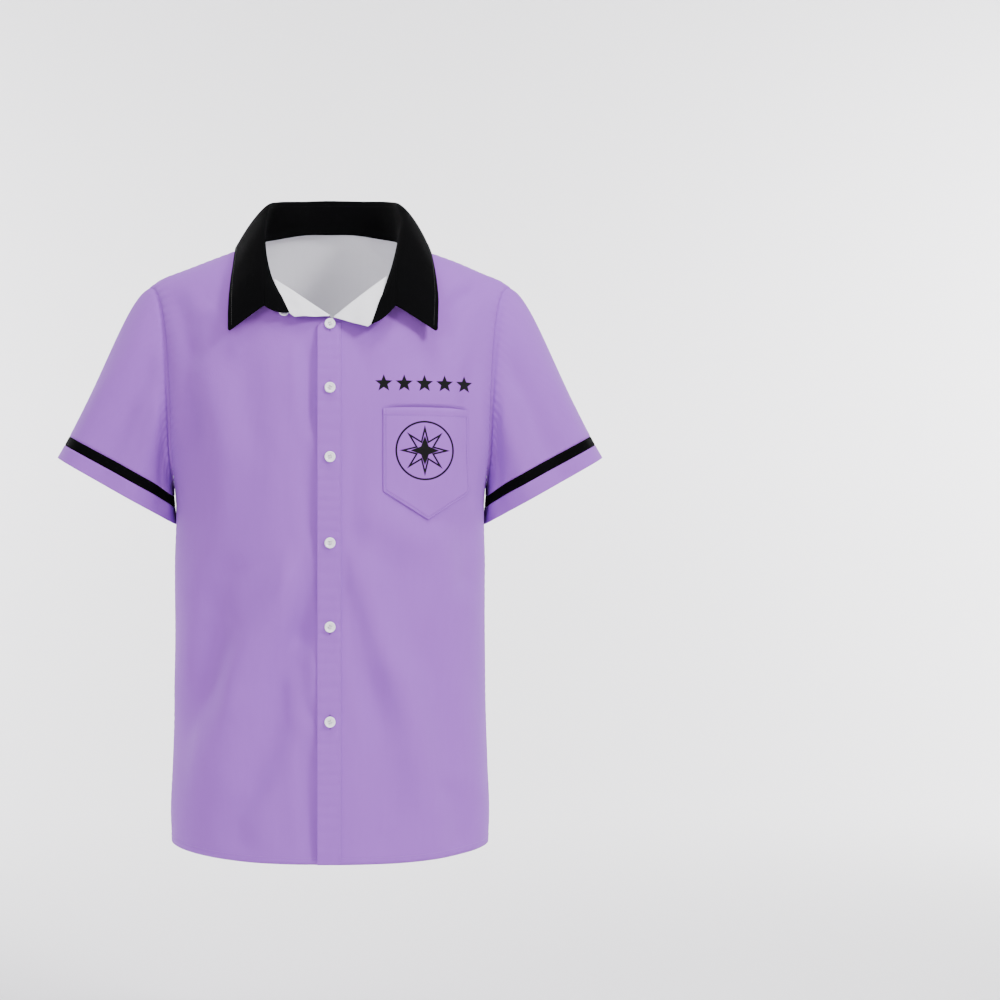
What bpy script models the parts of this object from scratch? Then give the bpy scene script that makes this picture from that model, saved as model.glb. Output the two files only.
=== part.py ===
"""A short-sleeved bowling shirt, filled out and hollow, built from the pieces that are cut and sewn.

The frame: X to the wearer's left, Y to the wearer's back, Z up, in metres. The origin is the middle of
the neck opening at the height where the shoulder seams meet the collar.

One smooth body form carries every body piece. A point of the form has a turn, the angle round the body
from the centre line, and a level. The level is the true height up to the chest. Above the chest it counts
the angle over the shoulder, and it is 0 on the shoulder ridge. The edges of the pieces are curves on it.
"""

import math
from collections import namedtuple

import bmesh
import bpy
import numpy as np
from mathutils import Vector
from mathutils.bvhtree import BVHTree

NAME = "bowling_shirt"

# ---------------------------------------------------------------- cloth
CLOTH = 0.0015
SEAM_GAP = 0.0003
LAP = CLOTH + 2 * SEAM_GAP
STRIP_CLOTH = 0.0011

# ---------------------------------------------------------------- body form
HEM_Z = -0.7262
HEM_SIDE_LIFT = 0.0105
UNDERARM_Z = -0.2930
CHEST_Z = -0.2000
NECK_SIDE_X = 0.0816
TIP_X = 0.2196
TIP_Z = -0.0590
SHOULDER_SLOPE = 0.385
SHOULDER_ROUND_X = 0.1950
NAPE_RISE = 0.0532
NAPE_SPREAD = 0.0830
NAPE_POWER = 2.35
NAPE_Y = 0.0705
SQUARENESS = 2.4

Level = namedtuple("Level", "level half_width front_depth back_depth")
LEVELS = (
    Level(-0.7300, 0.1886, 0.1350, 0.1250),
    Level(-0.6900, 0.1900, 0.1345, 0.1235),
    Level(-0.6200, 0.1880, 0.1335, 0.1170),
    Level(-0.5500, 0.1860, 0.1318, 0.1100),
    Level(-0.4700, 0.1850, 0.1305, 0.1055),
    Level(-0.3900, 0.1853, 0.1300, 0.1080),
    Level(-0.2930, 0.1862, 0.1275, 0.1150),
    Level(-0.2500, 0.1950, 0.1245, 0.1170),
    Level(-0.2000, 0.2020, 0.1195, 0.1180),
    Level(-0.1500, 0.2078, 0.1110, 0.1170),
    Level(-0.1000, 0.2130, 0.1075, 0.1150),
    Level(-0.0500, 0.2172, 0.1060, 0.1120),
    Level(0.0000, 0.2196, 0.1050, 0.1100),
)

# ---------------------------------------------------------------- armhole
ARMHOLE_BOW = {"front": 0.47, "back": 0.50}
ARMHOLE_ROUND = 2.2

# ---------------------------------------------------------------- front edges, roll lines and lapels
EDGE_X = -0.0145
EDGE_CORNER_Z = -0.1140
NECK_DROP = 0.0540
NECK_INSET = 0.0141
ROLL_RADIUS = 0.0025

Lapel = namedtuple("Lapel", "side foot_x foot_z top_z corner_along width turn_deg blunt")
LAPELS = {
    "left": Lapel(1, 0.0055, -0.1060, -0.0540, 0.24, 0.0445, 165.0, 0.08),
    "right": Lapel(-1, 0.0015, -0.1033, -0.0585, 0.42, 0.0335, 165.0, 0.12),
}

# ---------------------------------------------------------------- rows and columns of the cloth grids
BODY_ROWS = 15
CHEST_ROWS = 8
CORNER_ROWS = 3
ROLL_ROWS = 6
NECK_ROWS = 6
FRONT_COLUMNS = 14
BACK_COLUMNS = 11
UPPER_ROWS = CHEST_ROWS + CORNER_ROWS + ROLL_ROWS + NECK_ROWS

# ---------------------------------------------------------------- folds: a line on the cloth seen square on
Fold = namedtuple("Fold", "x0 z0 x1 z1 width depth")
FRONT_FOLDS = (
    Fold(-0.1150, -0.400, -0.1300, -0.440, 0.016, -0.0030),
    Fold(-0.1300, -0.440, -0.1650, -0.586, 0.016, -0.0040),
    Fold(-0.0445, -0.400, -0.1050, -0.536, 0.018, 0.0040),
    Fold(-0.1050, -0.536, -0.1300, -0.636, 0.018, 0.0045),
    Fold(-0.0296, -0.461, -0.0593, -0.536, 0.013, -0.0030),
    Fold(-0.0593, -0.536, -0.0800, -0.636, 0.014, -0.0035),
    Fold(0.0380, -0.396, 0.0752, -0.511, 0.016, 0.0040),
    Fold(0.0752, -0.511, 0.0958, -0.636, 0.017, 0.0045),
    Fold(0.0300, -0.440, 0.0604, -0.561, 0.011, -0.0030),
    Fold(0.1500, -0.345, 0.1560, -0.440, 0.015, -0.0040),
    Fold(-0.0265, -0.130, -0.0270, -0.200, 0.008, -0.0022),
    Fold(-0.0270, -0.360, -0.0275, -0.480, 0.008, -0.0026),
    Fold(0.1710, -0.072, 0.1310, -0.112, 0.010, -0.0022),
    Fold(-0.1620, -0.090, -0.1330, -0.140, 0.011, -0.0020),
    Fold(0.1300, -0.610, 0.1420, -0.715, 0.016, -0.0035),
    Fold(-0.1480, -0.640, -0.1420, -0.715, 0.016, 0.0030),
)
BACK_FOLDS = (
    Fold(0.1420, -0.330, 0.1360, -0.700, 0.014, -0.0045),
    Fold(0.1180, -0.420, 0.1120, -0.700, 0.016, 0.0030),
    Fold(-0.1400, -0.360, -0.1320, -0.690, 0.015, -0.0040),
    Fold(-0.1120, -0.500, -0.1080, -0.715, 0.016, 0.0030),
    Fold(-0.0700, -0.585, 0.0500, -0.600, 0.016, 0.0030),
    Fold(-0.0600, -0.635, 0.0700, -0.645, 0.015, -0.0030),
    Fold(0.0450, -0.470, 0.1000, -0.560, 0.015, -0.0025),
    Fold(-0.1500, -0.110, -0.1150, -0.180, 0.012, -0.0022),
    Fold(0.1500, -0.110, 0.1180, -0.190, 0.012, -0.0022),
)


# ---------------------------------------------------------------- curves
def ease(t):
    """A smooth step from 0 to 1."""
    t = np.clip(t, 0.0, 1.0)
    return t * t * (3.0 - 2.0 * t)


def unit(v):
    """Vectors scaled to length 1."""
    return v / np.maximum(np.linalg.norm(v, axis=-1, keepdims=True), 1e-12)


def mixed(a, b, t):
    """Points on the straight line from a to b."""
    return a + (b - a) * t


def follow(table, key, name, at):
    """One column of a table read smoothly between its rows: cubic pieces through every row."""
    at = np.asarray(at, float)
    k = np.array([getattr(row, key) for row in table])
    v = np.array([getattr(row, name) for row in table])
    slope = np.gradient(v, k)
    i = np.clip(np.searchsorted(k, at) - 1, 0, len(k) - 2)
    w = k[i + 1] - k[i]
    f = np.clip((at - k[i]) / w, 0.0, 1.0)
    start = (1 + 2 * f) * (1 - f) ** 2 * v[i] + f * (1 - f) ** 2 * w * slope[i]
    end = f * f * (3 - 2 * f) * v[i + 1] - f * f * (1 - f) * w * slope[i + 1]
    return start + end


def along(points, count):
    """A path cut again into equal steps."""
    step = np.linalg.norm(np.diff(points, axis=0), axis=1)
    run = np.concatenate([[0.0], np.cumsum(step)])
    at = np.linspace(0.0, run[-1], count + 1)
    return np.stack([np.interp(at, run, points[:, c]) for c in range(3)], axis=1)


# ---------------------------------------------------------------- body form
def ridge(x):
    """Height of the shoulder ridge: straight from the neck side and rounded to the tip."""
    slope = -SHOULDER_SLOPE
    inside = slope * (x ** 2 - NECK_SIDE_X ** 2) / (2 * NECK_SIDE_X)
    z = np.where(np.abs(x) < NECK_SIDE_X, inside, slope * (np.abs(x) - NECK_SIDE_X))
    rest = TIP_Z - slope * (TIP_X - NECK_SIDE_X)
    return z + rest * (np.clip(np.abs(x) - SHOULDER_ROUND_X, 0.0, 1.0) / (TIP_X - SHOULDER_ROUND_X)) ** 2


def form(turn, level, side):
    """Points of the body form, from the turn round the body and the level."""
    half_width = follow(LEVELS, "level", "half_width", level)
    depth = follow(LEVELS, "level", side + "_depth", level)
    power = 2.0 / SQUARENESS
    x = half_width * np.sign(turn) * np.abs(np.sin(turn)) ** power
    over = np.clip(1.0 - level / CHEST_Z, 0.0, 1.0) * math.pi / 2
    y = depth * np.abs(np.cos(turn)) ** power * np.cos(over)
    z = np.where(level < CHEST_Z, level, CHEST_Z + (ridge(x) - CHEST_Z) * np.sin(over))
    if side == "back":
        z = z + NAPE_RISE * np.exp(-(np.abs(x / NAPE_SPREAD) ** NAPE_POWER)) * np.sin(2 * over)
    z = z + HEM_SIDE_LIFT * np.abs(np.sin(turn)) ** 2.4 * ease((-0.64 - level) / 0.085)
    return np.stack([x, y if side == "back" else -y, z], axis=-1)


def place(x, z):
    """The turn and the level of the point of the front form that is seen at x and z."""
    rise = np.clip((z - CHEST_Z) / (ridge(x) - CHEST_Z), 0.0, 1.0)
    level = np.where(z < CHEST_Z, z, CHEST_Z * (1.0 - np.arcsin(rise) * 2 / math.pi))
    share = np.clip(np.abs(x) / follow(LEVELS, "level", "half_width", level), 0.0, 1.0)
    return np.sign(x) * np.arcsin(share ** (SQUARENESS / 2)), level


def armhole(part, side):
    """Turn and level on the armhole, part 0 at the underarm and 1 at the shoulder tip."""
    q = part ** 1.5
    bow = ARMHOLE_BOW[side] * (1.0 - np.abs(2 * q - 1) ** ARMHOLE_ROUND) ** (1 / ARMHOLE_ROUND)
    return np.arccos(bow ** (SQUARENESS / 2)), UNDERARM_Z * (1.0 - q)


def relief(points, folds, mirror):
    """Height of the folds at each point: soft troughs and ridges along their lines, tapered at the ends."""
    x = points[..., 0] * mirror
    z = points[..., 2]
    height = np.zeros_like(x)
    for fold in folds:
        run = np.array([fold.x1 - fold.x0, fold.z1 - fold.z0])
        length = np.hypot(*run)
        run = run / length
        at = ((x - fold.x0) * run[0] + (z - fold.z0) * run[1]) / length
        off = (x - fold.x0) * run[1] - (z - fold.z0) * run[0]
        taper = ease((at + 0.25) / 0.45) * ease((1.25 - at) / 0.45)
        height += fold.depth * np.exp(-((off / fold.width) ** 2)) * taper
    return height


def grid_normals(grid, outward):
    """Normals of a grid of points, turned to the side that outward gives."""
    across = np.gradient(grid, axis=1)
    up = np.gradient(grid, axis=0)
    n = unit(np.cross(across, up))
    return np.where(np.sum(n * outward, axis=-1, keepdims=True) < 0, -n, n)


# ---------------------------------------------------------------- grids of the body pieces
def front_edge(lapel):
    """The front's inner edge as seen from the front: free edge, corner, roll line, then the neckline."""
    free = np.concatenate([
        np.linspace(HEM_Z, UNDERARM_Z, BODY_ROWS + 1)[:-1],
        np.linspace(UNDERARM_Z, EDGE_CORNER_Z, CHEST_ROWS + 1)[:-1],
    ])
    swing = np.linspace(0.0, math.pi / 2, CORNER_ROWS + 1)[:-1]
    corner_x = lapel.foot_x - (lapel.foot_x - EDGE_X) * np.cos(swing)
    corner_z = mixed(EDGE_CORNER_Z, lapel.foot_z, np.sin(swing))
    roll = np.linspace(0.0, 1.0, ROLL_ROWS + 1)[:-1]
    top_x = NECK_SIDE_X - NECK_INSET * (-lapel.top_z / NECK_DROP) ** 1.5
    neck_z = lapel.top_z * (1.0 - np.linspace(0.0, 1.0, NECK_ROWS + 1)) ** 2
    neck_x = NECK_SIDE_X - NECK_INSET * (-neck_z / NECK_DROP) ** 1.5
    x = np.concatenate([np.full(len(free), EDGE_X), corner_x, mixed(lapel.foot_x, top_x, roll), neck_x])
    z = np.concatenate([free, corner_z, mixed(lapel.foot_z, lapel.top_z, roll), neck_z])
    return place(x, z)


def outer_edge(side):
    """The side seam and the armhole, from the hem to the shoulder tip."""
    seam = np.linspace(HEM_Z, UNDERARM_Z, BODY_ROWS + 1)[:-1]
    turn, level = armhole(np.linspace(0.0, 1.0, UPPER_ROWS + 1), side)
    return (
        np.concatenate([np.full(len(seam), math.pi / 2), turn]),
        np.concatenate([seam, level]),
    )


def ruled(inner, outer, columns):
    """Turns and levels of a grid whose rows run evenly from the inner edge to the outer edge."""
    s = np.linspace(0.0, 1.0, columns + 1)[None, :]
    turn = mixed(inner[0][:, None], outer[0][:, None], s)
    level = mixed(inner[1][:, None], outer[1][:, None], s)
    return turn, level


def front_grid(which):
    """Outer face of one front, as if on the wearer's left, with its folds and its lift over the lap."""
    lapel = LAPELS[which]
    turn, level = ruled(front_edge(lapel), outer_edge("front"), FRONT_COLUMNS)
    grid = form(turn, level, "front")
    normal = grid_normals(grid, np.array([0.3, -1.0, 0.3]))
    quiet = ease((1.0 - np.linspace(0.0, 1.0, FRONT_COLUMNS + 1)) / 0.16)[None, :]
    height = relief(grid, FRONT_FOLDS, lapel.side) * quiet
    if which == "left":
        height = height * ease((grid[..., 0] - 0.014) / 0.012)
        height = height + LAP * (1.0 - ease((grid[..., 0] - 0.018) / 0.035))
    return grid + normal * height[..., None], normal


def lapel_grid(which, front, normal):
    """The part of the front that is folded out over the roll line, down to its corner."""
    lapel = LAPELS[which]
    start = BODY_ROWS + CHEST_ROWS + CORNER_ROWS
    line = front[start:start + ROLL_ROWS + 1, 0]
    face = unit(normal[start:start + ROLL_ROWS + 1, 0])
    t = np.linspace(0.0, 1.0, ROLL_ROWS + 1)
    run = unit(np.gradient(line, axis=0))
    away = unit(np.cross(run, face))
    away = np.where(np.sum(away * np.array([-0.6, 0.0, 0.8]), axis=1, keepdims=True) < 0, -away, away)
    turn_max = math.radians(lapel.turn_deg)
    bend = ROLL_RADIUS * np.linspace(0.0, turn_max, 7)
    flat = np.linspace(bend[-1], lapel.width, 5)[1:]
    rows = []
    for d in np.concatenate([bend, flat]):
        at = lapel.corner_along + (t - lapel.corner_along) * (1.0 - (1.0 - lapel.blunt) * d / lapel.width)
        p, a, n = (np.stack([np.interp(at, t, v[:, c]) for c in range(3)], axis=1) for v in (line, away, face))
        turned = min(d / ROLL_RADIUS, turn_max)
        rest = max(d - ROLL_RADIUS * turn_max, 0.0)
        out = ROLL_RADIUS * math.sin(turned) + rest * math.cos(turn_max)
        off = ROLL_RADIUS * (1.0 - math.cos(turned)) + rest * math.sin(turn_max)
        rows.append(p + unit(a) * out + unit(n) * off)
    return np.stack(rows)


def neck_back(part):
    """Turn and level on the back neckline, part 0 at the nape and 1 at the neck side: oval from above."""
    x = NECK_SIDE_X * np.sin(part * math.pi / 2)
    y = NAPE_Y * np.cos(part * math.pi / 2)
    level = np.full_like(x, CHEST_Z / 2)
    turn = np.zeros_like(x)
    for _ in range(12):
        share = x / follow(LEVELS, "level", "half_width", level)
        turn = np.arcsin(np.clip(share, 0.0, 1.0) ** (SQUARENESS / 2))
        depth = follow(LEVELS, "level", "back_depth", level) * np.cos(turn) ** (2 / SQUARENESS)
        level = CHEST_Z * (1.0 - np.arccos(np.clip(y / depth, 0.0, 1.0)) * 2 / math.pi)
    return turn, level


def back_half():
    """Outer face of the wearer's left half of the back, before its folds."""
    nape = neck_back(np.array([0.0]))[1][0]
    turn, level = neck_back(np.linspace(0.0, 1.0, NECK_ROWS + 1))
    spine = np.concatenate([
        np.linspace(HEM_Z, UNDERARM_Z, BODY_ROWS + 1)[:-1],
        np.linspace(UNDERARM_Z, nape, UPPER_ROWS - NECK_ROWS + 1)[:-1],
    ])
    inner = (np.concatenate([np.zeros(len(spine)), turn]), np.concatenate([spine, level]))
    return form(*ruled(inner, outer_edge("back"), BACK_COLUMNS), "back")


def back_grids():
    """Outer face of the back: two halves that meet on the centre line below the nape."""
    half = back_half()
    normal = grid_normals(half, np.array([0.3, 1.0, 0.3]))
    normal[:, 0, 0] = 0.0
    quiet = ease((1.0 - np.linspace(0.0, 1.0, BACK_COLUMNS + 1)) / 0.16)[None, :]
    grids = []
    for mirror in (1, -1):
        height = relief(half, BACK_FOLDS, mirror) * quiet
        grids.append((half + unit(normal) * height[..., None]) * np.array([mirror, 1.0, 1.0]))
    return grids


# ---------------------------------------------------------------- sleeves
SLEEVE_HEM_OUTER = (0.3262, -0.2600)
SLEEVE_HEM_INNER = (0.1900, -0.3400)
SLEEVE_HALF_DEPTH = 0.0520
SLEEVE_AXIS = (0.504, 0.0, -0.864)
SLEEVE_SQUARENESS = 2.5
SLEEVE_START = 0.0009
SLEEVE_ROWS = 5

Head = namedtuple("Head", "part out fore down first last hem_band stripe")
SLEEVE_HEAD = (
    Head(0.00, 0.10, 0.00, 0.99, 0.20, 0.30, 0.0210, 0.0130),
    Head(0.25, 0.60, 0.14, 0.78, 0.24, 0.30, 0.0200, 0.0127),
    Head(0.50, 0.82, 0.22, 0.52, 0.24, 0.34, 0.0188, 0.0123),
    Head(0.75, 0.85, 0.14, 0.50, 0.20, 0.40, 0.0178, 0.0120),
    Head(1.00, 0.80, 0.00, 0.60, 0.15, 0.45, 0.0172, 0.0120),
)
SleeveFold = namedtuple("SleeveFold", "side part0 part1 run0 run1 width depth")
SLEEVE_FOLDS = (
    SleeveFold("front", 0.62, 0.60, 0.10, 1.00, 0.060, -0.0035),
    SleeveFold("front", 0.80, 0.76, 0.15, 1.00, 0.050, 0.0030),
    SleeveFold("front", 0.42, 0.44, 0.05, 1.00, 0.055, 0.0030),
    SleeveFold("front", 0.25, 0.28, 0.00, 0.95, 0.050, -0.0030),
    SleeveFold("back", 0.55, 0.58, 0.10, 1.00, 0.060, -0.0035),
    SleeveFold("back", 0.76, 0.74, 0.10, 1.00, 0.050, 0.0030),
    SleeveFold("back", 0.32, 0.34, 0.05, 1.00, 0.055, 0.0028),
)


def sleeve_paths():
    """The left sleeve's outer face as paths from the armhole to the hem, all round from the underarm."""
    part = np.linspace(0.0, 1.0, UPPER_ROWS + 1)
    hem_outer = np.array([SLEEVE_HEM_OUTER[0], 0.0, SLEEVE_HEM_OUTER[1]])
    hem_inner = np.array([SLEEVE_HEM_INNER[0], 0.0, SLEEVE_HEM_INNER[1]])
    centre = (hem_outer + hem_inner) / 2
    major = (hem_outer - hem_inner) / 2
    paths = []
    shares = []
    for side, fore in (("front", -1.0), ("back", 1.0)):
        start = form(*armhole(part, side), side)
        step = np.linalg.norm(np.diff(start, axis=0), axis=1)
        share = np.concatenate([[0.0], np.cumsum(step)]) / step.sum()
        start = start + np.array([SLEEVE_START, 0.0, 0.0])
        swing = math.pi * (1.0 - share)
        power = 2.0 / SLEEVE_SQUARENESS
        c = np.sign(np.cos(swing)) * np.abs(np.cos(swing)) ** power
        s = np.abs(np.sin(swing)) ** power
        end = centre + major * c[:, None] + np.array([0.0, fore * SLEEVE_HALF_DEPTH, 0.0]) * s[:, None]
        read = {key: follow(SLEEVE_HEAD, "part", key, share)[:, None] for key in Head._fields[1:]}
        leave = unit(np.hstack([read["out"], fore * read["fore"], -read["down"]]))
        length = np.linalg.norm(end - start, axis=1, keepdims=True)
        first = start + leave * length * read["first"]
        aim = unit(mixed(unit(end - start), unit(np.array(SLEEVE_AXIS)), ease(share / 0.55)[:, None]))
        last = end - aim * length * read["last"]
        w = np.linspace(0.0, 1.0, 61)[None, :, None]
        curve = (
            (1 - w) ** 3 * start[:, None] + 3 * (1 - w) ** 2 * w * first[:, None]
            + 3 * (1 - w) * w ** 2 * last[:, None] + w ** 3 * end[:, None]
        )
        run = np.linspace(0.0, 1.0, 61)[None, :]
        swell = np.zeros((len(share), 61))
        for fold in SLEEVE_FOLDS:
            if fold.side == side:
                at = mixed(fold.part0, fold.part1, run)
                taper = ease((run - fold.run0 + 0.2) / 0.4) * ease((fold.run1 + 0.3 - run) / 0.4)
                swell += fold.depth * np.exp(-(((share[:, None] - at) / fold.width) ** 2)) * taper
        push = curve - (centre + unit(np.array(SLEEVE_AXIS)) * np.sum(
            (curve - centre) * unit(np.array(SLEEVE_AXIS)), axis=-1, keepdims=True))
        calm = ease(run / 0.25) * ease(share / 0.15)[:, None] * ease((1.0 - share) / 0.12)[:, None]
        curve = curve + unit(push) * (swell * calm)[..., None]
        paths.append(curve)
        shares.append(share)
    ring = np.concatenate([paths[0], paths[1][-2:0:-1]])
    share = np.concatenate([shares[0], shares[1][-2:0:-1]])
    return ring, share


def sleeve_grids():
    """Outer faces of the sleeve, its inset stripe and its hem band, each a closed ring of paths."""
    ring, share = sleeve_paths()
    hem_band = follow(SLEEVE_HEAD, "part", "hem_band", share)
    stripe = follow(SLEEVE_HEAD, "part", "stripe", share)
    pieces = {"sleeve": [], "sleeve_stripe": [], "sleeve_hem": []}
    for path, low, band in zip(ring, hem_band, stripe):
        step = np.linalg.norm(np.diff(path, axis=0), axis=1)
        run = np.concatenate([[0.0], np.cumsum(step)])
        total = run[-1]
        cuts = {
            "sleeve": np.linspace(0.0, total - low - band - SEAM_GAP, SLEEVE_ROWS + 1),
            "sleeve_stripe": np.linspace(total - low - band, total - low - SEAM_GAP, 2),
            "sleeve_hem": np.linspace(total - low, total, 2),
        }
        for name, at in cuts.items():
            pieces[name].append(np.stack([np.interp(at, run, path[:, c]) for c in range(3)], axis=1))
    grids = {}
    for name, rows in pieces.items():
        grid = np.stack(rows, axis=1)
        grids[name] = np.concatenate([grid, grid[:, :1]], axis=1)
    return grids


# ---------------------------------------------------------------- collar
Station = namedtuple("Station", "place fold_x fold_y fold_z edge_x edge_y edge_z lead swell")
COLLAR = (
    Station(0.00, 0.0000, 0.0715, 0.0540, 0.0000, 0.0960, 0.0185, 0.0170, 0.0060),
    Station(0.35, 0.0335, 0.0660, 0.0530, 0.0450, 0.0900, 0.0140, 0.0170, 0.0060),
    Station(0.70, 0.0630, 0.0400, 0.0485, 0.0870, 0.0590, 0.0030, 0.0170, 0.0060),
    Station(1.00, 0.0722, 0.0040, 0.0390, 0.1120, 0.0040, -0.0070, 0.0170, 0.0050),
    Station(1.25, 0.0752, -0.0200, 0.0230, 0.1155, -0.0270, -0.0160, 0.0160, 0.0045),
    Station(1.50, 0.0763, -0.0440, 0.0055, 0.1182, -0.0540, -0.0370, 0.0140, 0.0040),
    Station(2.00, 0.0757, -0.0790, -0.0360, 0.1210, -0.0800, -0.0690, 0.0090, 0.0025),
    Station(2.50, 0.0758, -0.0950, -0.0635, 0.1218, -0.0940, -0.0930, 0.0050, 0.0010),
    Station(3.00, 0.0759, -0.1030, -0.0888, 0.1215, -0.1060, -0.1195, 0.0010, 0.0000),
)
BACK_STEPS = 7
SIDE_STEPS = 6
LAPEL_STEPS = 4
BAND_ROWS = 3
FALL_ROWS = 8
BAND_LIFT = 0.0006
FOLD_LEAN = 0.0080
EDGE_LEAN = 0.0042
END_BULGE = 0.0035


def lean(which, place_at):
    """How far the fold and the leaf edge of one half stand further out: the neck lies a little askew."""
    if which == "left":
        fold = FOLD_LEAN * ease(place_at / 0.6) * ease((2.1 - place_at) / 0.9)
        return fold, EDGE_LEAN * ease(place_at / 0.8) * (1.0 - 0.45 * ease(place_at - 2.0))
    return np.zeros_like(place_at), -EDGE_LEAN * ease((place_at - 0.8) / 0.8)


def collar_half(which, lapel_edge):
    """Neck seam, fold and leaf edge of one half of the collar, from the nape to the front end."""
    nape = form(*neck_back(np.linspace(0.0, 1.0, 25)), "back")
    neck_z = LAPELS[which].top_z * np.linspace(0.0, 1.0, 25) ** 2
    neck_x = NECK_SIDE_X - NECK_INSET * (-neck_z / NECK_DROP) ** 1.5
    side = form(*place(neck_x, neck_z), "front")
    seam = np.concatenate([
        along(nape, BACK_STEPS), along(side, SIDE_STEPS)[1:], along(lapel_edge, LAPEL_STEPS)[1:],
    ])
    station = np.concatenate([
        np.linspace(0.0, 1.0, BACK_STEPS + 1),
        np.linspace(1.0, 2.0, SIDE_STEPS + 1)[1:],
        np.linspace(2.0, 3.0, LAPEL_STEPS + 1)[1:],
    ])
    read = {key: follow(COLLAR, "place", key, station) for key in Station._fields[1:]}
    fold_out, edge_out = lean(which, station)
    fold = np.stack([read["fold_x"] + fold_out, read["fold_y"], read["fold_z"]], axis=1)
    edge = np.stack([read["edge_x"] + edge_out, read["edge_y"], read["edge_z"]], axis=1)
    return seam, fold, edge, read["lead"][:, None], read["swell"][:, None]


def collar_grids(edges):
    """Neck-side faces of the collar band and of the collar fall."""
    halves = {which: collar_half(which, edges[which]) for which in ("left", "right")}
    flip = np.array([-1.0, 1.0, 1.0])
    parts = []
    for item in range(5):
        left = halves["left"][item]
        right = halves["right"][item][:0:-1]
        parts.append(np.concatenate([right * flip if item < 3 else right, left]))
    seam, fold, edge, lead, swell = parts
    rise = unit(fold - seam)
    low = seam + rise * BAND_LIFT
    w = np.linspace(0.0, 1.0, BAND_ROWS + 1)[:, None, None]
    band = mixed(low[None], fold[None], w)
    at_end = ease((np.abs(np.linspace(-3.0, 3.0, len(seam))) - 2.45) / 0.55)[None, :, None]
    band = band + np.array([0.0, 0.0, -END_BULGE]) * np.sin(math.pi * w) * at_end
    start = fold + rise * 2 * SEAM_GAP
    drop = unit(edge - fold)
    aside = unit(drop - rise * np.sum(drop * rise, axis=1, keepdims=True))
    first = start + rise * lead
    last = first + drop * 0.45 * np.linalg.norm(edge - fold, axis=1, keepdims=True) + aside * swell
    w = np.linspace(0.0, 1.0, FALL_ROWS + 1)[:, None, None] ** 1.5
    fall = (
        (1 - w) ** 3 * start[None] + 3 * (1 - w) ** 2 * w * first[None]
        + 3 * (1 - w) * w ** 2 * last[None] + w ** 3 * edge[None]
    )
    return band, fall


# ---------------------------------------------------------------- trims
POCKET_X = (0.0603, 0.1606)
POCKET_TOP_Z = -0.2066
POCKET_SIDE_Z = -0.3030
POCKET_POINT_Z = -0.3355
POCKET_COLUMNS = 10
POCKET_ROWS = 8
POCKET_GAP = 0.0007

PLACKET_X = (-0.0145, 0.0130)
PLACKET_TOP_Z = -0.1085
PLACKET_ROWS = 30

BUTTON_Z = (-0.1112, -0.1850, -0.2640, -0.3616, -0.4569, -0.5644)
BUTTON_RADIUS = 0.0063
BUTTON_SIDES = 14
HOLE_RADIUS = 0.0008
HOLE_SPREAD = 0.0017
BUTTON_PROFILE = (
    (0.0, 0.0),
    (0.0054, 0.0),
    (0.0063, 0.0010),
    (0.0057, 0.0022),
    (0.0042, 0.0017),
    (0.0, 0.0016),
)
COLLAR_BUTTON_AT = (-0.0535, -0.0965, -0.0945)
COLLAR_BUTTON_FACE = (0.25, -0.93, 0.20)

SLOTS = {
    "lilac_cloth": (0.440, 0.298, 0.630, 1.0),
    "black_cloth": (0.004, 0.004, 0.004, 1.0),
    "white_button": (0.800, 0.780, 0.840, 1.0),
}


# ---------------------------------------------------------------- solids
def scene_collection(name):
    """A fresh collection in the scene."""
    group = bpy.data.collections.new(name)
    bpy.context.scene.collection.children.link(group)
    return group


def finish(name, slot, rough):
    """One Principled material for one piece."""
    material = bpy.data.materials.new(slot + "." + name)
    material.use_nodes = True
    shader = material.node_tree.nodes["Principled BSDF"]
    shader.inputs["Base Color"].default_value = SLOTS[slot]
    shader.inputs["Roughness"].default_value = rough
    return material


def add(bm, name, slot, group):
    """An object made from the bmesh, with its own material."""
    mesh = bpy.data.meshes.new(name)
    bm.to_mesh(mesh)
    bm.free()
    item = bpy.data.objects.new(name, mesh)
    mesh.materials.append(finish(name, slot, 0.35 if slot == "white_button" else 0.85))
    group.objects.link(item)
    return item


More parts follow.
